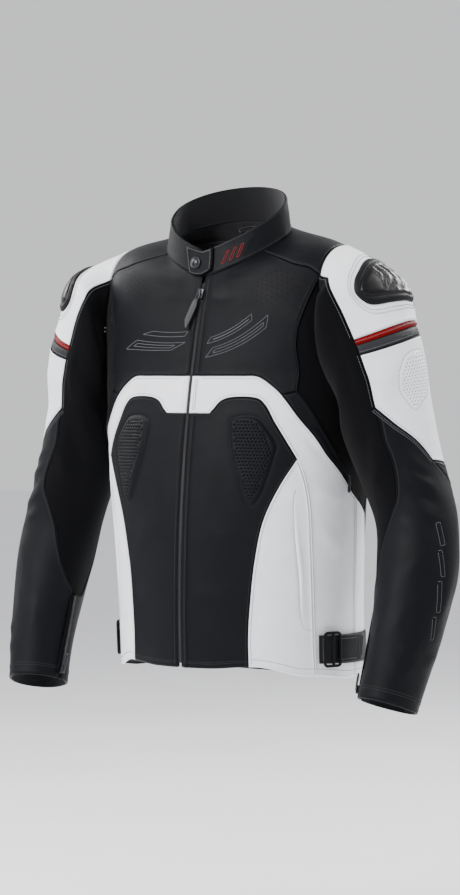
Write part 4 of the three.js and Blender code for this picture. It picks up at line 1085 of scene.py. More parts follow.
PIPED = dict(edge=piped_edge, rings=(0.8, 1.7, 2.8, 4.6))
FINE = dict(spacing=4.6)
for side, flip in FLIP.items():
    hems = [PLACKET_LINES[SIDE[side]]]
    for name, node, slot, outline, materials, options in (
            ("chest_leather", "chest_panel", "black_leather", CHEST, [BLACK, LINING],
             dict(features=hems, **FINE)),
            ("white_band", "chest_band", "white_leather", BAND, [WHITE, LINING],
             dict(features=hems, **PIPED, **FINE)),
            ("lower_front_leather", "lower_front", "black_leather", LOWER, [BLACK, HOLE, LINING],
             dict(features=hems + [flip(PAD_FEATURES)], holes=flip(PAD_HOLES), **FINE)),
            ("pocket_leather", "pocket_panel", "white_leather", POCKET, [WHITE, LINING],
             dict(features=[flip(POCKET_FEATURES)], **PIPED, **FINE)),
            ("side_strip_leather", "side_strip", "black_leather", STRIP, [BLACK, LINING],
             dict(rings=(1.0, 2.2), spacing=4.0)),
            ("side_cloth", "side_stretch", "stretch_textile", SIDE_CLOTH, [STRETCH, LINING],
             dict(edge=cloth_edge, lift=-0.6, **FINE)),
            ("back_side_leather", "back_side", "white_leather", BACK_SIDE, [WHITE, LINING],
             dict(**PIPED, **FINE))):
        torso_panel(f"{name}_{side}", f"{node}_{side}", slot, flip(outline), materials, **options)
torso_panel("back_leather", "back_panel", "black_leather", BACK_OUT, [BLACK, LINING], spacing=6.0)
torso_panel("yoke_leather", "yoke", "black_leather", YOKE_OUT, [BLACK, LINING], spacing=5.0)


def seam(tone, surface, line, *distances, relief=torso_relief, lift=0.3, bundles=SEAMS, **options):
    for distance in distances:
        stitch_row(bundles[tone], surface, sideways(line, distance), lift, relief, **options)


for side, flip in FLIP.items():
    turn = SIDE[side]
    placket = PLACKET[turn] - 1.9
    for tone, line, distances in (
            ("black", zip_line(10, 340, placket), (0, 1.8)),
            ("white", zip_line(350, 393, placket), (0, 1.8)),
            ("black", zip_line(400, 592, placket), (0, 1.8))):
        seam(tone, TORSO, flip(line), *distances)
    for tone, line, distances in (
            ("black", YOKE_LINE, (2.8, 5.2)), ("black", CHEST_EDGE, (-3.2,)),
            ("black", BAND_TOP[8:SPLIT + 12], (3.6,)), ("white", BAND_TOP[4:], (-4.0,)),
            ("white", BAND_LOW[2:], (4.0,)), ("black", BAND_LOW[2:], (-3.4,)),
            ("black", LOWER_LINE, (-3.4,)),
            ("white", SIDE_LINE, (3.4, -3.4)), ("white", POCKET_LINE[8:], (3.2,)),
            ("grey", POCKET_STITCH, (0,)),
            ("white", LOWER_LINE[6:], (3.6,)), ("black", STRIP_EDGE, (-3.0,)),
            ("black", hem(2, 34), (9, 6.6)),
            ("white", hem(34, 117), (10.5,)), ("black", BACK_SIDE_LINE, (3.2,)),
            ("black", ARM_BACK_LINE, (3.2,))):
        seam(tone, TORSO, flip(line), *(turn * distance for distance in distances))
    for line, aside, lift, radius in (
            (CHEST_EDGE, 0, 0.1, 1.25), (CHEST_EDGE, -4.6, 0.0, 1.0), (STRIP_EDGE, 0, 0.2, 1.2),
            (BAND_TOP[SPLIT:], 0, -0.1, 0.95), (BAND_LOW[2:], 0, -0.35, 0.8)):
        tube(PIPING, TORSO, sideways(flip(line), turn * aside), lift, radius, torso_relief)
seam("black", TORSO, np.vstack([BACK_YOKE_LINE, full_back(BACK_YOKE_LINE)[::-1]]), 2.8, 5.2, -2.8)
seam("black", TORSO, hem(117, 243), 9, 6.6)

# ---- sleeves -------------------------------------------------------------------------------------
START = 1.0                      # sleeve panels begin this far down from the armhole seam


def sleeve_top(start, end):
    phi = np.linspace(start, end, max(3, int(abs(end - start) / 3)))
    return sleeve_flat(np.stack([phi, np.full(len(phi), START)], 1))


def stripe_line(offset):
    phi = np.linspace(79.5, -79, 60)
    return sleeve_flat(np.stack([phi, 79 + 5 * np.sin(np.radians(phi)) + offset], 1))


def around_arm(line, turns=1):
    return line + [360 * SLEEVE_UNIT * turns, 0]


RED_UP, RED_DOWN, GREY_DOWN = stripe_line(0), stripe_line(5.5), stripe_line(16)
FRONT_UP = smooth_line(sleeve_flat([[60, START], [66, 18], [78, 40], [79, 66], [79.5, 83.9]]))
FRONT_DOWN = smooth_line(sleeve_flat([[79.5, 99.9], [79, 115], [77, 137], [76, 176]]))
BACK_UP = smooth_line(sleeve_flat([[-60, START], [-66, 18], [-74, 40], [-77, 60], [-79, 74.1]]))
BACK_DOWN = smooth_line(sleeve_flat([[-79, 90.1], [-90, 137], [-100, 180], [-107, 230], [-112, 262]]))
WHITE_LOW = smooth_line(sleeve_flat([[76, 176], [56, 206], [37, 228], [11, 264]]))
WHITE_BOTTOM = smooth_line(sleeve_flat([[11, 264], [-27, 267], [-62, 266], [-100, 265]]))
WHITE_TAIL = sleeve_flat([[-100, 265], [-112, 262]])
LEATHER_SEAM = smooth_line(sleeve_flat([[76, 176], [75, 196], [77, 225], [74, 250], [73, 277], [79, 303],
                                        [98, 330],
                                        [116, 362], [130, 400], [142, 425], [160, 447], [178, 457],
                                        [197, 457], [205, 440],
                                        [215, 400], [226, 350], [233, 325], [243, 301], [248, 262]]))
ACCORDION_EDGE = smooth_line(sleeve_flat([[-100, 265], [-98, 292], [-84, 303], [-44, 303], [-28, 294],
                                          [-6, 279], [11, 264]]))
PATCH = smooth_line(sleeve_flat([[39, 132], [27, 114], [8, 108], [-12, 112], [-18, 138], [-10, 168],
                                 [8, 182], [22, 190],
                                 [33, 176], [41, 158], [39, 132]]), 3)[:-1]
PATCH_HOLES = filled(PATCH, 5.4, 4.5)
PATCH_FEATURES = np.vstack([PATCH] + [sideways(PATCH, r, True) for r in (-2, 1.6)])
CUFF = 580.0
ZIP_PHI = 174.0
SLIT = 4.2
LEATHER_OUT = join(
    LEATHER_SEAM[:np.argmin(np.linalg.norm(LEATHER_SEAM - sleeve_flat([[170, 453]]), axis=1))],
    sleeve_flat([[ZIP_PHI - SLIT, 458], [ZIP_PHI - SLIT, CUFF]]),
    sleeve_flat([[phi, CUFF] for phi in range(168, -181, -6)]),
    sleeve_flat([[ZIP_PHI + SLIT - 360, CUFF], [ZIP_PHI + SLIT - 360, 459]]),
    (LEATHER_SEAM[np.argmin(np.linalg.norm(LEATHER_SEAM - sleeve_flat([[181, 459]]),
                                           axis=1)):] - [360 * SLEEVE_UNIT, 0]),
    WHITE_TAIL[::-1], ACCORDION_EDGE, WHITE_LOW[::-1])
WHITE_UPPER = join(sleeve_top(60, -60), BACK_UP, RED_UP[::-1], FRONT_UP[::-1])
WHITE_LOWER = join(GREY_DOWN, BACK_DOWN, WHITE_TAIL[::-1], WHITE_BOTTOM[::-1], WHITE_LOW[::-1],
                   FRONT_DOWN[::-1])
CLOTH = join(sleeve_top(60, 300), around_arm(BACK_UP), around_arm(np.array([RED_DOWN[-1], GREY_DOWN[-1]])),
             around_arm(BACK_DOWN), LEATHER_SEAM[::-1], FRONT_DOWN[::-1],
             np.array([GREY_DOWN[0], RED_DOWN[0], RED_UP[0]]), FRONT_UP[::-1])
FORE_MARK = [sleeve_flat(q) for q in (
    [[33, 346], [26, 344], [20, 372], [27, 374]], [[31, 382], [25, 380], [17, 412], [23, 414]],
    [[27, 422], [21, 420], [11, 458], [17, 460]], [[21, 468], [15, 466], [6, 494], [12, 496]])]

SLEEVE_FOLDS = folds(sleeve_flat, [
    ([[104, 20], [112, 70], [118, 130]], 1.2, 14), ([[86, 40], [90, 100], [92, 170]], 1.3, 7),
    ([[126, 30], [128, 90], [124, 160]], 1.4, 14), ([[100, 150], [120, 200], [150, 230]], 1.4, 12),
    ([[90, 180], [104, 226], [130, 262]], -1.8, 9), ([[84, 230], [100, 262], [122, 290]], 2.2, 9),
    ([[66, 120], [62, 160], [52, 196]], 1.6, 9), ([[48, 105], [52, 130], [60, 160]], 1.1, 8),
    ([[20, 220], [36, 206], [60, 190]], 1.0, 8), ([[-20, 240], [0, 236], [22, 228]], 1.3, 8),
    ([[62, 236], [44, 262], [16, 284]], 1.8, 7), ([[66, 262], [44, 286], [10, 306]], 2.4, 7),
    ([[68, 284], [46, 308], [14, 326]], -1.6, 6), ([[76, 306], [50, 330], [16, 344]], 1.7, 8),
    ([[88, 330], [66, 352], [40, 360]], 1.2, 9), ([[52, 380], [66, 410], [84, 430]], 1.3, 10),
    ([[10, 400], [4, 440], [6, 480]], 1.4, 10), ([[-10, 360], [-30, 400], [-34, 440]], 1.2, 12),
    ([[24, 505], [44, 520], [70, 516]], 1.6, 9), ([[20, 530], [46, 545], [80, 540]], 1.3, 8),
    ([[-30, 500], [-10, 520], [18, 528]], 1.5, 9), ([[100, 470], [110, 500], [108, 536]], 1.2, 10),
    ([[60, 450], [74, 480], [78, 510]], 1.0, 10), ([[-60, 470], [-76, 500], [-90, 530]], 1.6, 12),
    ([[-90, 110], [-110, 160], [-116, 220]], 2.0, 11), ([[-126, 60], [-140, 140], [-132, 220]], 2.2, 12),
    ([[-108, 400], [-120, 440], [-128, 500]], 1.4, 12),
])


def unrolled(folds):
    """The folds, repeated a turn on, because pieces count phi from different starts."""
    return [(line + [360 * SLEEVE_UNIT * k, 0], height, width) for k in (-1, 0, 1) for line, height,
            width in folds]


SLEEVE_RELIEF = Relief(
    unrolled(SLEEVE_FOLDS), [((2 * math.pi / (360 * SLEEVE_UNIT) * 3, 0.017, 0.3), 0.7),
                             ((2 * math.pi / (360 * SLEEVE_UNIT) * 5, -0.031, 1.4), 0.4)],
    [(PATCH, 1.6, 6)] + [(resample(q, 2.5, True), 1.5, 5) for q in FORE_MARK])


def elbow_blend(obj, side, slot=None, *nodes):
    """Bakes a piece's placement into its mesh and hides the CAD nodes that it takes the place of; side and
    slot are not used.
    """
    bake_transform(obj)
    if nodes:
        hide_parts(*nodes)


ARM_SEAMS = {}
for side in ("left", "right"):
    surface = SLEEVE[side]
    relief = SLEEVE_RELIEF
    bundles = {tone: Bundle() for tone in THREADS}
    top_bundles = {tone: Bundle() for tone in THREADS}
    pipes, top_pipes = Bundle(), Bundle()
    white_top = panel(f"shoulder_leather_{side}", surface, WHITE_UPPER, [WHITE, LINING], relief=relief,
                      **PIPED, **FINE)
    settle(white_top, "root", "white_leather", f"shoulder_panel_{side}")
    for part, outline, material, node, slot in (
            ("red_stripe_leather", join(RED_UP, RED_DOWN[::-1]), RED, "red_stripe", "red_leather"),
            ("grey_stripe_leather", join(RED_DOWN, GREY_DOWN[::-1]), GREY, "grey_stripe", "grey_leather")):
        stripe = panel(f"{part}_{side}", surface, outline, [material, LINING], relief=relief,
                       rings=(0.9, 1.8), spacing=2.6,
                       lift=-0.5)
        settle(stripe, "root", slot, f"{node}_{side}")
    white_low = panel(f"upper_arm_leather_{side}", surface, WHITE_LOWER, [WHITE, PALE_HOLE, LINING],
                      relief=relief,
                      spacing=4.4, features=[PATCH_FEATURES], holes=PATCH_HOLES, hole_radius=0.85,
                      hole_depth=1.2, **PIPED)
    elbow_blend(white_low, side, "white_leather", f"upper_arm_{side}")
    cloth = panel(f"sleeve_cloth_{side}", surface, CLOTH, [STRETCH, LINING], relief=relief, edge=cloth_edge,
                  lift=-0.7,
                  spacing=4.6)
    elbow_blend(cloth, side, "stretch_textile",
                *(f"{node}_stretch_{side}" for node in ("sleeve", "elbow", "forearm")))
    marks = np.vstack([np.vstack([resample(q, 2, True), sideways(resample(q, 2, True), 1.4, True),
                                  sideways(resample(q, 2, True), -1.4, True)]) for q in FORE_MARK])
    arm = panel(f"forearm_leather_skin_{side}", surface, LEATHER_OUT, [BLACK, LINING], relief=relief,
                spacing=4.2,
                features=[marks])
    elbow_blend(arm, side, "black_leather", f"elbow_leather_{side}", f"forearm_leather_{side}")

    # the accordion patch: sewn ribs across the elbow
    ribs = join(WHITE_BOTTOM, ACCORDION_EDGE)

    def ribbed(flat):
        along = flat[:, 1] + 0.24 * flat[:, 0]
        d = edge_distance(ribs, flat)
        return relief(flat) + 1.5 * np.abs(np.sin(along * math.pi / 5.2)) ** 0.7 * smooth(1.0, 4.0, d) - 0.6
    patch = panel(f"elbow_ribs_{side}", surface, ribs, [BLACK, LINING], relief=ribbed, spacing=1.7,
                  rings=(0.9, 1.8))
    elbow_blend(patch, side, "black_leather", f"elbow_accordion_{side}")

    hem_line = sleeve_flat([[phi, CUFF] for phi in range(169, -181, -3)])
    for kept, tone, line, distances in (
            (top_bundles, "white", FRONT_UP, (-3.2,)), (top_bundles, "white", BACK_UP, (3.2,)),
            (top_bundles, "white", RED_UP, (-2.6,)), (bundles, "white", GREY_DOWN, (3.0,)),
            (bundles, "white", FRONT_DOWN, (-3.2,)), (bundles, "white", BACK_DOWN, (3.2,)),
            (bundles, "white", WHITE_LOW, (-3.4, -6.0)), (bundles, "white", WHITE_BOTTOM, (-3.2,)),
            (bundles, "black", LEATHER_SEAM, (3.4,)), (bundles, "black", WHITE_LOW, (3.2,)),
            (bundles, "black", ACCORDION_EDGE, (-2.6,)), (bundles, "white", looped(PATCH), (0.2,)),
            *((bundles, "grey", looped(resample(mark, 1.5, True)), (0.4,)) for mark in FORE_MARK),
            (bundles, "black", hem_line, (10.5, 13.0))):
        seam(tone, surface, line, *distances, relief=relief, bundles=kept)
    for kept, line, lift, radius in (
            (pipes, LEATHER_SEAM[:-4], -0.5, 0.8), (pipes, WHITE_LOW, -0.6, 0.75),
            (pipes, FRONT_DOWN, -0.6, 0.75),
            (pipes, BACK_DOWN, -0.6, 0.75), (pipes, WHITE_BOTTOM, -0.3, 0.9),
            (pipes, hem_line - [0, 0.6], -0.9, 1.35),
            (pipes, GREY_DOWN, -0.3, 0.8), (top_pipes, FRONT_UP, -0.6, 0.75),
            (top_pipes, BACK_UP, -0.6, 0.75)):
        tube(kept, surface, line, lift, radius, relief)
    ARM_SEAMS[side] = (bundles, top_bundles, pipes, top_pipes)

    # shoulder armour: matt base with a rolled edge, glossy ribbed cap
    base_line = smooth_line(sleeve_flat([[4, 23], [20, 28], [36, 36], [50, 45], [56, 54], [48, 63],
                                         [15, 64], [-9, 61],
                                         [-28, 57], [-36, 48], [-31, 32], [-14, 22], [4, 23]]), 3)[:-1]
    cap_line = inner_line(base_line, 5.6)

    def base_edge(d):
        return 1.3 + 2.9 * (1 - np.exp(-(d / 1.6) ** 2)) - 0.9 * np.exp(-((d - 5.6) / 0.9) ** 2)

    def cap_edge(d):
        return 4.2 + 2.2 * (1 - np.exp(-(d / 2.0) ** 1.6))

    def cap_relief(flat):
        d = edge_distance(cap_line, flat)
        lean = (flat[:, 0] - 8 * SLEEVE_UNIT) * 0.8 - np.abs(flat[:, 1] - 44) * 0.7
        ridge = np.abs(np.sin(lean * math.pi / 9.0)) ** 0.5
        band = smooth(-36, -26, flat[:, 0]) * (1 - smooth(18, 28, flat[:, 0]))
        return relief(flat) - 2.2 * ridge * smooth(1.5, 4, d) * band + 0.6 * smooth(5, 11, d)
    plate = panel(f"armour_base_{side}", surface, base_line, [MATT, HOLE], relief=relief, edge=base_edge,
                  spacing=3.0,
                  rings=(0.8, 1.6, 2.8, 4.4, 5.6, 6.6), thick=2.6)
    settle(plate, "root", "armour_plastic", f"shoulder_armour_base_{side}")
    shield = panel(f"armour_cap_{side}", surface, cap_line, [GLOSS, HOLE], relief=cap_relief, edge=cap_edge,
                   spacing=1.5,
                   rings=(0.7, 1.5, 2.6, 4.0), thick=2.6)
    settle(shield, "root", "armour_plastic", f"shoulder_armour_cap_{side}")
    ring = looped(base_line)
    turning = 1 if area(base_line) > 0 else -1
    seam("white", surface, ring, -turning * 3.2, -turning * 5.8, relief=relief, bundles=top_bundles,
         lift=0.5)

for side, (bundles, top_bundles, pipes, top_pipes) in ARM_SEAMS.items():
    for tone, bundle in bundles.items():
        if bundle.count:
            elbow_blend(bundle.make(f"sleeve_stitches_{tone}_{side}", [THREADS[tone]]), side)
    for tone, bundle in top_bundles.items():
        if bundle.count:
            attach(bundle.make(f"shoulder_stitches_{tone}_{side}", [THREADS[tone]]), "root")
    elbow_blend(pipes.make(f"sleeve_piping_{side}", [BLACK]), side)
    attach(top_pipes.make(f"shoulder_piping_{side}", [BLACK]), "root")

# ---- front zip: tapes, teeth, slider and rubber pull ---------------------------------------------
def arc_frame(z):
    angle = math.asin((z - ARC[1]) / ZIP_ARC_RADIUS)
    out = np.array([0, -math.cos(angle), math.sin(angle)])
    along = np.array([0, math.sin(angle), math.cos(angle)])
    return np.array([0, float(front_y(z)), z]), along, out


def arc_rows(low, high, step):
    z = np.linspace(low, high, max(2, int(abs(high - low) / step)))
    rows = [arc_frame(v) for v in z]
    points, along, out = (np.array([row[k] for row in rows]) for k in range(3))
    return points, along, out


def block(bundle, centre, x_axis, y_axis, z_axis, size, bevel=0.25):
    """A block with bevelled edges along the three axes."""
    w, l, h = (s / 2 for s in size)
    b = min(bevel, w * 0.6, l * 0.6, h * 0.6)
    ring = [(-w + b, -l), (w - b, -l), (w, -l + b), (w, l - b), (w - b, l), (-w + b, l), (-w, l - b),
            (-w, -l + b)]
    levels = [(-h, 1 - b / w), (-h + b, 1.0), (h - b, 1.0), (h, 1 - b / w)]
    vertices = []
    for z, share in levels:
        for x, y in ring:
            vertices.append(centre + x_axis * x * share + y_axis * y * (1 - (1 - share) * w / l) + z_axis
                            * z)
    bundle.add(np.array(vertices), loft(len(levels), len(ring)))


X = np.array([1.0, 0.0, 0.0])
teeth, tapes = Bundle(), Bundle()
points, along, out = arc_rows(6, 526, 5)
for turn in (1, -1):
    section = [(0.3 * turn, -2.7), (0.3 * turn, -3.3), (11 * turn, -5.3), (11 * turn, -4.7)]
    tapes.add(*swept(points, np.tile(X, (len(points), 1)), out, section if turn < 0 else section[::-1]))
for k, z in enumerate(np.arange(7, 525, 1.35)):
    origin, up, front = arc_frame(z)
    turn = 1 if k % 2 else -1
    block(teeth, origin + X * turn * 1.1 - front * 1.7, X, up, front, (3.2, 1.05, 2.0), 0.22)
settle(teeth.make("front_zip_teeth", [TEETH]), "root", "black_metal", "front_zip")
settle(tapes.make("front_zip_tapes", [STRETCH]), "root", "stretch_textile")

SLIDER_TOP, SLIDER_LENGTH = 516.0, 14.0
slider = Bundle()
origin, up, front = arc_frame(SLIDER_TOP - SLIDER_LENGTH / 2)
shape = [(-7, 3.0), (-5.5, 3.6), (-1, 3.9), (3.5, 5.0), (6.2, 5.4), (7, 4.6)]
for low, high, grow in ((1.0, 2.5, 1.0), (2.5, 3.0, 0.86)):
    vertices = []
    for y, half in shape:
        for x, z in ((-half, low), (-half * 0.97, high - 0.3), (-half * grow + 0.5, high),
                     (half * grow - 0.5, high),
                     (half * 0.97, high - 0.3), (half, low)):
            vertices.append(origin + X * x + up * y + front * z)
    slider.add(np.array(vertices), [(face[0], *face[:0:-1]) for face in loft(len(shape), 6)])
bridge = [(-5.0, 3.0), (-4.4, 4.1), (-2.5, 4.5), (2.5, 4.5), (4.4, 4.1), (5.0, 3.0)]
rail = np.array([origin + up * y + front * (z - 0.6) for y, z in bridge])
slider.add(*swept(rail, np.tile(X, (6, 1)), np.tile(front, (6, 1)),
                  [(-1.3, -0.45), (1.3, -0.45), (1.3, 0.45), (-1.3, 0.45)]))
settle(slider.make("front_zip_slider_body", [METAL]), "zip_slider", "black_metal", "front_zip_slider")

PULL_AXIS = np.array([-0.951057, 0.080914, 0.298235])
PULL_HEIGHT, PULL_CLEARANCE = 509.0, 5.8
PULL_EYE, _, PULL_OUT = arc_frame(PULL_HEIGHT)
PULL_PIVOT = PULL_EYE + PULL_OUT * PULL_CLEARANCE
PULL_DOWN = -np.cross(PULL_AXIS, PULL_OUT)
PULL_DOWN = PULL_DOWN if PULL_DOWN[2] < 0 else -PULL_DOWN
PULL_SIDE = np.cross(PULL_DOWN, PULL_OUT)


def on_pull(across, down, up):
    return PULL_PIVOT + PULL_SIDE * across + PULL_DOWN * down + PULL_OUT * up


def pull_edges(down):
    """The rubber's two sides that far below the pivot: a narrow neck, a flat blade, a slanted end."""
    half = np.interp(down, [9, 11, 16, 20, 44, 52], [2.6, 3.0, 4.9, 5.5, 4.9, 4.2])
    low = -half
    high = np.minimum(half, np.interp(down, [42, 52], [5.0, -1.5]))
    return low, np.maximum(high, low + 0.8)


rubber, loop = Bundle(), Bundle()
rows = np.concatenate([np.linspace(9, 20, 9), np.linspace(22, 42, 12), np.linspace(43, 51.6, 9)])
vertices = []
for down in rows:
    low, high = pull_edges(down)
    width = high - low
    waist = 0.16 * math.sin(down * 2.1) if 24 < down < 42 else 0.0
    for share, height in ((0, 0.0), (0.05, 0.7), (0.16, 1.1), (0.3, 0.85), (0.5, 0.8 + waist), (0.7, 0.85),
                          (0.84, 1.1),
                          (0.95, 0.7), (1, 0.0), (0.95, -0.7), (0.5, -1.1), (0.05, -0.7)):
        vertices.append(on_pull(low + width * share, down, height))
rubber.add(np.array(vertices), loft(len(rows), len(vertices) // len(rows)))
settle(rubber.make("zip_pull_rubber", [RUBBER]), "zip_pull", "armour_plastic", "front_zip_pull")
track = []
for a in np.linspace(0, 2 * math.pi, 40, endpoint=False):
    down = 5.4 - 6.0 * math.cos(a)
    track.append(on_pull(2.3 * np.sign(math.sin(a)) * abs(math.sin(a)) ** 0.6, down, 0.0))
track = np.array(track)
ahead = np.roll(track, -1, 0) - np.roll(track, 1, 0)
side_way = np.cross(PULL_OUT, ahead)
side_way /= np.linalg.norm(side_way, axis=1, keepdims=True)
loop.add(*swept(track, side_way, np.tile(PULL_OUT, (len(track), 1)), ring_section(0.75, 8), True))
settle(loop.make("zip_pull_link", [METAL]), "zip_pull", "black_metal")

# ---- collar, tab, snap ---------------------------------------------------------------------------
COLLAR_WAVE = Relief([(collar_flat([[30, 0.1], [40, 0.5], [44, 0.9]]), 1.0, 8),
                      (collar_flat([[-34, 0.1], [-44, 0.5], [-50, 0.9]]), 1.0, 8),
                      (collar_flat([[95, 0.15], [105, 0.5], [100, 0.9]]), 1.1, 10),
                      (collar_flat([[255, 0.15], [262, 0.5], [255, 0.9]]), 1.1, 10)],
                     [((0.05, 0.06, 0.5), 0.35)])
COLLAR_OUT = join(collar_flat([[2, -0.05], [60, -0.05], [120, -0.05], [180, -0.05], [240, -0.05],
                               [300, -0.05], [358, -0.05]]),
                  collar_flat([[358, 0.84], [355.5, 0.95], [350, 1.0]]),
                  collar_flat([[300, 1.0], [240, 1.0], [180, 1.0], [120, 1.0], [60, 1.0]]),
                  collar_flat([[10, 1.0], [4.5, 0.95], [2, 0.84]]))
collar = panel("collar_shell", COLLAR, COLLAR_OUT, [BLACK, RIB], relief=COLLAR_WAVE, thick=3.4, spacing=3.6,
               edge=lambda d: -0.9 * np.exp(-(d / 0.9) ** 2) + 0.3 * np.exp(-((d - 2.4) / 1.6) ** 2))
settle(collar, "root", "black_leather", "collar")
TAB_HEIGHT = 2.8                 # of the tab over the collar's surface
TAB_OUT = join(smooth_line(collar_flat([[9, 0.1], [9.4, 0.5], [9, 0.95]])),
               collar_flat([[-17.6, 0.9], [-18.9, 0.87], [-19.3, 0.8]]),
               collar_flat([[-13.4, -0.03], [-11.7, -0.09], [-4, -0.05]]))


def tab_edge(d):
    return TAB_HEIGHT + 2.2 + 0.35 * np.exp(-((d - 2.0) / 1.2) ** 2) - 1.0 * np.exp(-(d / 0.7) ** 2)


tab = panel("collar_tab_leather", COLLAR, TAB_OUT, [BLACK, RIB], edge=tab_edge, spacing=2.6, thick=2.2,
            rings=(0.7, 1.4, 2.4))
settle(tab, "collar_flap", "black_leather", "collar_tab")
tab_sew, collar_sew, collar_red, neck_pipe = Bundle(), Bundle(), Bundle(), Bundle()
tab_ring = inner_line(TAB_OUT, 2.6)
stitch_row(tab_sew, COLLAR, looped(tab_ring), TAB_HEIGHT + 2.75, None, 3.0, 2.2, 0.33)
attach(tab_sew.make("collar_tab_stitches", [GREY_THREAD]), "collar_flap")
stitch_row(collar_sew, COLLAR, collar_flat([[t, 0.93] for t in range(12, 349, 3)]), 0.3, COLLAR_WAVE)
stitch_row(collar_sew, COLLAR, collar_flat([[t, 0.07] for t in range(12, 349, 3)]), 0.3, COLLAR_WAVE)
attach(collar_sew.make("collar_stitches", [DARK_THREAD]), "root")
for low, high in ((17, 22), (24, 29), (31, 36)):
    bar = collar_flat([[low, 0.2], [low + 2.4, 0.2], [high + 2.4, 0.62], [high, 0.62], [low, 0.2]])
    stitch_row(collar_red, COLLAR, resample(bar, 1.0), 0.4, COLLAR_WAVE, 1.9, 1.7, 0.42)
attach(collar_red.make("collar_red_stitching", [RED_THREAD]), "root")
tube(neck_pipe, TORSO, torso_flat([[t, 599.5] for t in np.arange(3, 358, 2.0)]), 0.2, 1.3, None)
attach(neck_pipe.make("neck_seam_piping", [BLACK]), "root")


def lathe(bundle, spot, out, profile, sides=32):
    side_a = np.cross(out, [0.0, 0.0, 1.0])
    side_a /= np.linalg.norm(side_a)
    side_b = np.cross(out, side_a)
    vertices = [spot + (side_a * math.cos(a) + side_b * math.sin(a)) * r + out * h
                for r, h in profile for a in np.linspace(0, 2 * math.pi, sides, endpoint=False)]
    bundle.add(np.array(vertices), loft(len(profile), sides))


snap_flat = collar_flat([[-6.5, 0.4]])
snap_out = COLLAR.normals(snap_flat)[0]
snap_spot = COLLAR.at(snap_flat)[0]
cap, stud = Bundle(), Bundle()
lathe(cap, snap_spot + snap_out * (TAB_HEIGHT + 2.5), snap_out,
      [(8.2, 0.0), (8.5, 0.5), (8.5, 1.3), (8.1, 1.9), (7.3, 2.2), (6.7, 1.9), (6.3, 1.8), (5.9, 2.1),
       (5.0, 2.9), (3.4, 3.5),
       (1.6, 3.8), (0.3, 3.85)])
lathe(stud, snap_spot + snap_out * 0.6, snap_out,
      [(5.0, 0.0), (5.0, 0.4), (4.2, 0.7), (4.0, 1.5), (3.2, 1.6), (2.4, 1.1), (0.3, 1.1)])
settle(cap.make("snap_cap", [METAL]), "collar_flap", "black_metal", "collar_snap_cap")
settle(stud.make("snap_stud", [METAL]), "root", "black_metal", "collar_snap_stud")

# ---- waist straps with their buckles -------------------------------------------------------------
for side, flip in FLIP.items():
    strap_out = join(flip(torso_flat([[68, 6], [90, 3.5], [110, 2], [124, 2], [124, 43], [110, 43],
                                      [90, 44], [68, 45]])))
    strap = panel(f"strap_{side}", TORSO, strap_out, [WEBBING, WEBBING], lift=2.6, thick=1.9, spacing=4.0,
                  rings=(0.8, 2.0, 3.4),
                  edge=lambda d: 0.5 * (1 - np.exp(-(d / 1.2) ** 2)))
    settle(strap, "root", "stretch_textile", f"waist_strap_{side}")
    free = join(flip(torso_flat([[76, 7], [90, 5.6], [98, 5], [101, 9], [103.5, 37], [101, 42], [90, 43.4],
                                 [76, 44]])))

    def free_edge(d):
        return 0.6 * np.exp(-((d - 1.2) / 0.9) ** 2) + 0.45 * (1 - np.exp(-(d / 0.8) ** 2))
    flap = panel(f"strap_end_{side}_leather", TORSO, free, [BLACK, WEBBING], lift=4.6, thick=1.7,
                 spacing=3.4,
                 rings=(0.7, 1.3, 2.2, 3.6), edge=free_edge)
    settle(flap, f"strap_end_{side}", "black_leather", f"strap_tab_{side}")
    sewn, fixed_sewn = Bundle(), Bundle()
    for turn_at in (97.0, 99.0):
        stitch_row(sewn, TORSO, flip(torso_flat([[turn_at, 9], [turn_at + 2.0, 37]])), 5.5, None)
    for height in (10.5, 38.8):
        stitch_row(sewn, TORSO, flip(torso_flat([[79, height], [96, height - 0.8]])), 5.4, None)
    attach(sewn.make(f"strap_end_stitches_{side}", [GREY_THREAD]), f"strap_end_{side}")
    for turn_at in (118.5, 121.5):
        stitch_row(fixed_sewn, TORSO, flip(torso_flat([[turn_at, 5], [turn_at, 41]])), 3.4, None)
    stitch_row(fixed_sewn, TORSO, flip(torso_flat([[70, 9], [70, 42]])), 3.4, None)
    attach(fixed_sewn.make(f"strap_stitches_{side}", [GREY_THREAD]), "root")
    buckle = Bundle()
    frame_line = flip(torso_flat([[71.5, 2.6], [79.0, 2.6], [80.6, 4.6], [80.6, 45.6], [79.0, 47.8],
                                  [71.8, 47.8], [70.4, 45.6],
                                  [70.4, 4.6]]))
    tube(buckle, TORSO, frame_line, 6.3, 2.1, None, 10, 0.85, True)
    tube(buckle, TORSO, flip(torso_flat([[75.5, 3], [75.5, 47]])), 6.9, 2.2, None, 10, 0.85)
    settle(buckle.make(f"strap_buckle_{side}", [MATT]), "root", "armour_plastic")

# ---- inside: lining, back protector, hanging loop, elbow protectors ------------------------------
ARMHOLE = np.array([ARMHOLE_TURN, ARMHOLE_HEIGHT])
LINER_HOLE_GROWTH = 1.1          # the lining's hole against the sleeve seam


def liner_hole():
    phi = np.radians(np.linspace(38, 322, 60))
    seam_line = np.stack(armhole_point(phi), 1)
    return torso_flat(ARMHOLE + (seam_line - ARMHOLE) * LINER_HOLE_GROWTH)


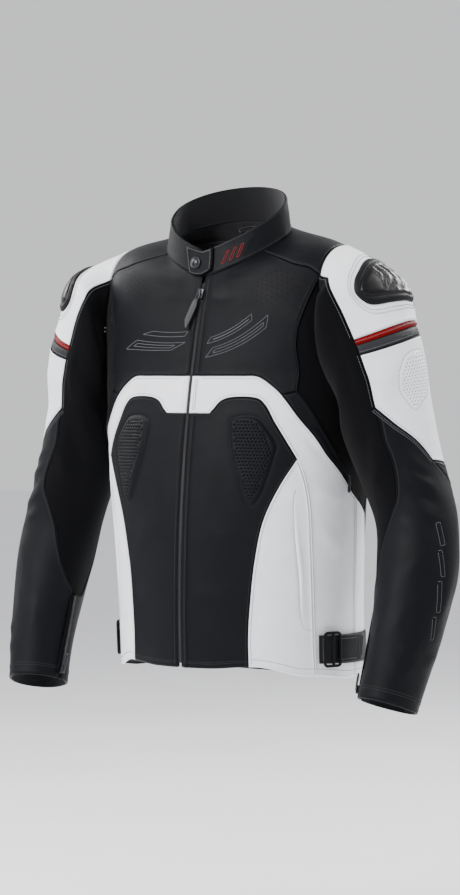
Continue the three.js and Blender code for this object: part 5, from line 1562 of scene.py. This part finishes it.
LINER_HALF = np.vstack([torso_flat([[180, 1], [135, 1], [90, -14], [50, -3], [8, 6], [6, 120], [6, 250],
                                    [6, 400], [7, 574],
                                    [30, 572], [62, 562]]), liner_hole(),
                                    torso_flat([[124, 562], [150, 572], [180, 574]])])
LINER_OUT = join(LINER_HALF, full_back(LINER_HALF)[::-1][1:-1])
liner = panel("body_lining", TORSO, LINER_OUT, [LINING, LINING], lift=-7.2, thick=1.0, spacing=9.0,
              rings=(2.0,), edge=flat_edge,
              relief=Relief((), [((0.05, 0.02, 0.2), 0.6), ((-0.02, 0.07, 1.2), 0.5)]))
settle(liner, "root", "lining", "body_liner")

SPINE_HALF = smooth_line(torso_flat([[180, 455], [160, 450], [152, 420], [149, 330], [154, 230], [160, 150],
                                     [168, 118], [180, 112]]), 5)
SPINE_OUT = join(SPINE_HALF, full_back(SPINE_HALF)[::-1][1:-1])


def spine_cells(flat):
    row = np.abs(np.sin(flat[:, 1] * math.pi / 26))
    column = np.abs(np.sin((flat[:, 0] - 180 * TORSO_UNIT) * math.pi / 34))
    return -1.8 * (np.exp(-(row / 0.22) ** 2) + np.exp(-(column / 0.2) ** 2)) * 0.7


def spine_edge(d):
    return -3.5 * np.exp(-(d / 3.0) ** 2)


spine = panel("back_protector_pad", TORSO, SPINE_OUT, [RUBBER, MATT], lift=-11.9, thick=6.0, spacing=5.0,
              rings=(1.5, 3.0, 5.0),
              edge=spine_edge, relief=spine_cells)
settle(spine, "root", "foam", "back_protector")

hang = Bundle()
tape = torso_flat([[t, 586 + 3.0 * math.sin(math.radians((t - 166) / 28 * 180))] for t in np.linspace(166,
        194, 25)])
tape_lift = -3.6 - 1.6 * np.sin(np.linspace(0, math.pi, 25))
points, along, across, out = frames(TORSO, tape, tape_lift)
hang.add(*swept(points, across, out, [(-3.4, -0.55), (3.4, -0.55), (3.4, 0.55), (-3.4, 0.55)]))
settle(hang.make("hanging_loop_tape", [WEBBING]), "root", "stretch_textile", "hanger_loop")

for side in ("left", "right"):
    elbow = smooth_line(sleeve_flat([[20, 312], [30, 340], [18, 372], [-12, 386], [-45, 386], [-70, 368],
                                     [-78, 340], [-66, 314],
                                     [-22, 308], [20, 312]]), 4)[:-1]
    pad = panel(f"elbow_pad_{side}", SLEEVE[side], elbow, [RUBBER, MATT], lift=-5.8, thick=6.0, spacing=5.0,
                rings=(1.2, 2.6, 4.6), edge=spine_edge,
                relief=lambda flat: -1.2 * np.exp(-(np.abs(np.sin(flat[:, 1] * math.pi / 18)) / 0.25) ** 2))
    settle(pad, f"forearm_{side}", "foam", f"elbow_protector_{side}")

    # the cuff zip is straight, on the chord between its two ends
    surface = SLEEVE[side]
    ends = sleeve_flat([[ZIP_PHI, 462], [ZIP_PHI, 575], [ZIP_PHI, 518.5]])
    normals = surface.normals(ends)
    top, end = surface.at(ends)[:2] + normals[:2] * 2.6
    run = end - top
    length = np.linalg.norm(run)
    run = run / length
    width_way = np.cross(normals[2], run)
    width_way /= np.linalg.norm(width_way)
    out = np.cross(run, width_way)
    out = out if out @ normals[2] > 0 else -out
    rows, tape = Bundle(), Bundle()
    for k, at in enumerate(np.arange(1.5, length - 1, 1.5)):
        turn = 1 if k % 2 else -1
        block(rows, top + run * at + width_way * turn * 0.9 + out * 0.9, width_way, run, out,
              (2.8, 1.15, 1.5), 0.2)
    path = np.array([top + run * at for at in np.linspace(0, length, 16)])
    tape.add(*swept(path, np.tile(width_way, (16, 1)), np.tile(out, (16, 1)),
                    [(-6.5, -1.6), (6.5, -1.6), (4.0, 0.35), (-4.0, 0.35)]))
    settle(rows.make(f"cuff_zip_teeth_{side}", [TEETH]), f"forearm_{side}", "black_metal",
           f"cuff_zip_{side}")
    settle(tape.make(f"cuff_zip_tape_{side}", [STRETCH]), f"forearm_{side}", "stretch_textile")
    body = Bundle()
    middle = top + run * (length - 7) + out * 3.4
    block(body, middle, width_way, run, out, (7.0, 11.5, 2.4), 0.9)
    block(body, middle + out * 1.5, width_way, run, out, (2.4, 8.0, 1.2), 0.5)
    tag = [middle + out * 2.0 - run * d for d in (-1.0, 3.0, 8.0, 14.0, 19.0, 22.0)]
    half = (1.6, 1.9, 2.9, 3.2, 3.0, 1.8)
    vertices = []
    for p, h in zip(tag, half):
        vertices += [p - width_way * h, p - width_way * h * 0.8 + out * 0.9,
                     p + width_way * h * 0.8 + out * 0.9,
                     p + width_way * h, p + width_way * h * 0.8 - out * 0.3,
                     p - width_way * h * 0.8 - out * 0.3]
    body.add(np.array(vertices), loft(len(tag), 6))
    settle(body.make(f"cuff_zip_slider_body_{side}", [METAL]), f"cuff_slider_{side}", "black_metal",
           f"cuff_zip_slider_{side}")

# ---- small trim: side zip pulls, perforated chest patches, the stitched chest motif --------------
for side, flip in FLIP.items():
    toggle = Bundle()
    line = smooth_line(flip(torso_flat([[84.5, 262], [85.2, 255], [85.2, 244], [85.4, 238]])), 1.5)
    points, along, across, out = frames(TORSO, line, 3.4, torso_relief)
    rings = np.interp(np.linspace(0, 1, len(points)), [0, 0.12, 0.3, 0.6, 0.9, 1],
                      [0.9, 1.2, 1.7, 2.6, 2.9, 1.6])
    section = ring_section(1.0, 10, 0.6)
    spokes = section[None, :, :1] * across[:, None] + section[None, :, 1:] * out[:, None]
    vertices = points[:, None] + spokes * rings[:, None, None]
    toggle.add(vertices.reshape(-1, 3), loft(len(points), len(section)))
    settle(toggle.make(f"side_pocket_pull_{side}", [RUBBER]), "root", "armour_plastic")

MOTIF = [torso_flat(q) for q in (
    [[-34, 428], [-9, 444], [-3.4, 462], [-28, 446]], [[4, 431], [33, 458], [36, 474], [7, 449]],
    [[-26, 458], [-4.4, 474], [-3.2, 484], [-21, 470]], [[4.6, 458], [28, 478], [29, 488], [6.4, 470]])]
for shape in MOTIF:
    outer = np.vstack([resample(shape, 1.0, True), shape[:1]])
    inner = inner_line(resample(shape, 1.0, True), 4.6)
    stitch_row(SEAMS["grey"], TORSO, outer, 0.35, torso_relief, 2.6, 2.2, 0.42)
    if len(inner) > 6:
        stitch_row(SEAMS["grey"], TORSO, looped(inner), 0.35, torso_relief, 2.6, 2.2, 0.42)

dots = Bundle()
for flip in FLIP.values():
    field = hexagons(torso_flat([[34, 488]])[0], torso_flat([[54, 540]])[0], 9.0)
    field = flip(field)
    lean = np.abs(field[:, 0]) / TORSO_UNIT
    field = field[(field[:, 1] < 548 - 0.9 * (54 - lean)) & (field[:, 1] > 478 + 0.6 * (54 - lean))]
    normals = TORSO.normals(field)
    places = TORSO.at(field) + normals * (torso_relief(field) + 0.12)[:, None]
    for place, normal in zip(places, normals):
        lathe(dots, place, normal, [(0.95, -0.3), (0.95, 0.0), (0.6, -0.12), (0.1, -0.2)], 8)
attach(dots.make("chest_perforations", [HOLE]), "root")

for tone, bundle in SEAMS.items():
    if bundle.count:
        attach(bundle.make(f"torso_stitches_{tone}", [THREADS[tone]]), "root")
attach(PIPING.make("torso_piping_black", [BLACK]), "root")
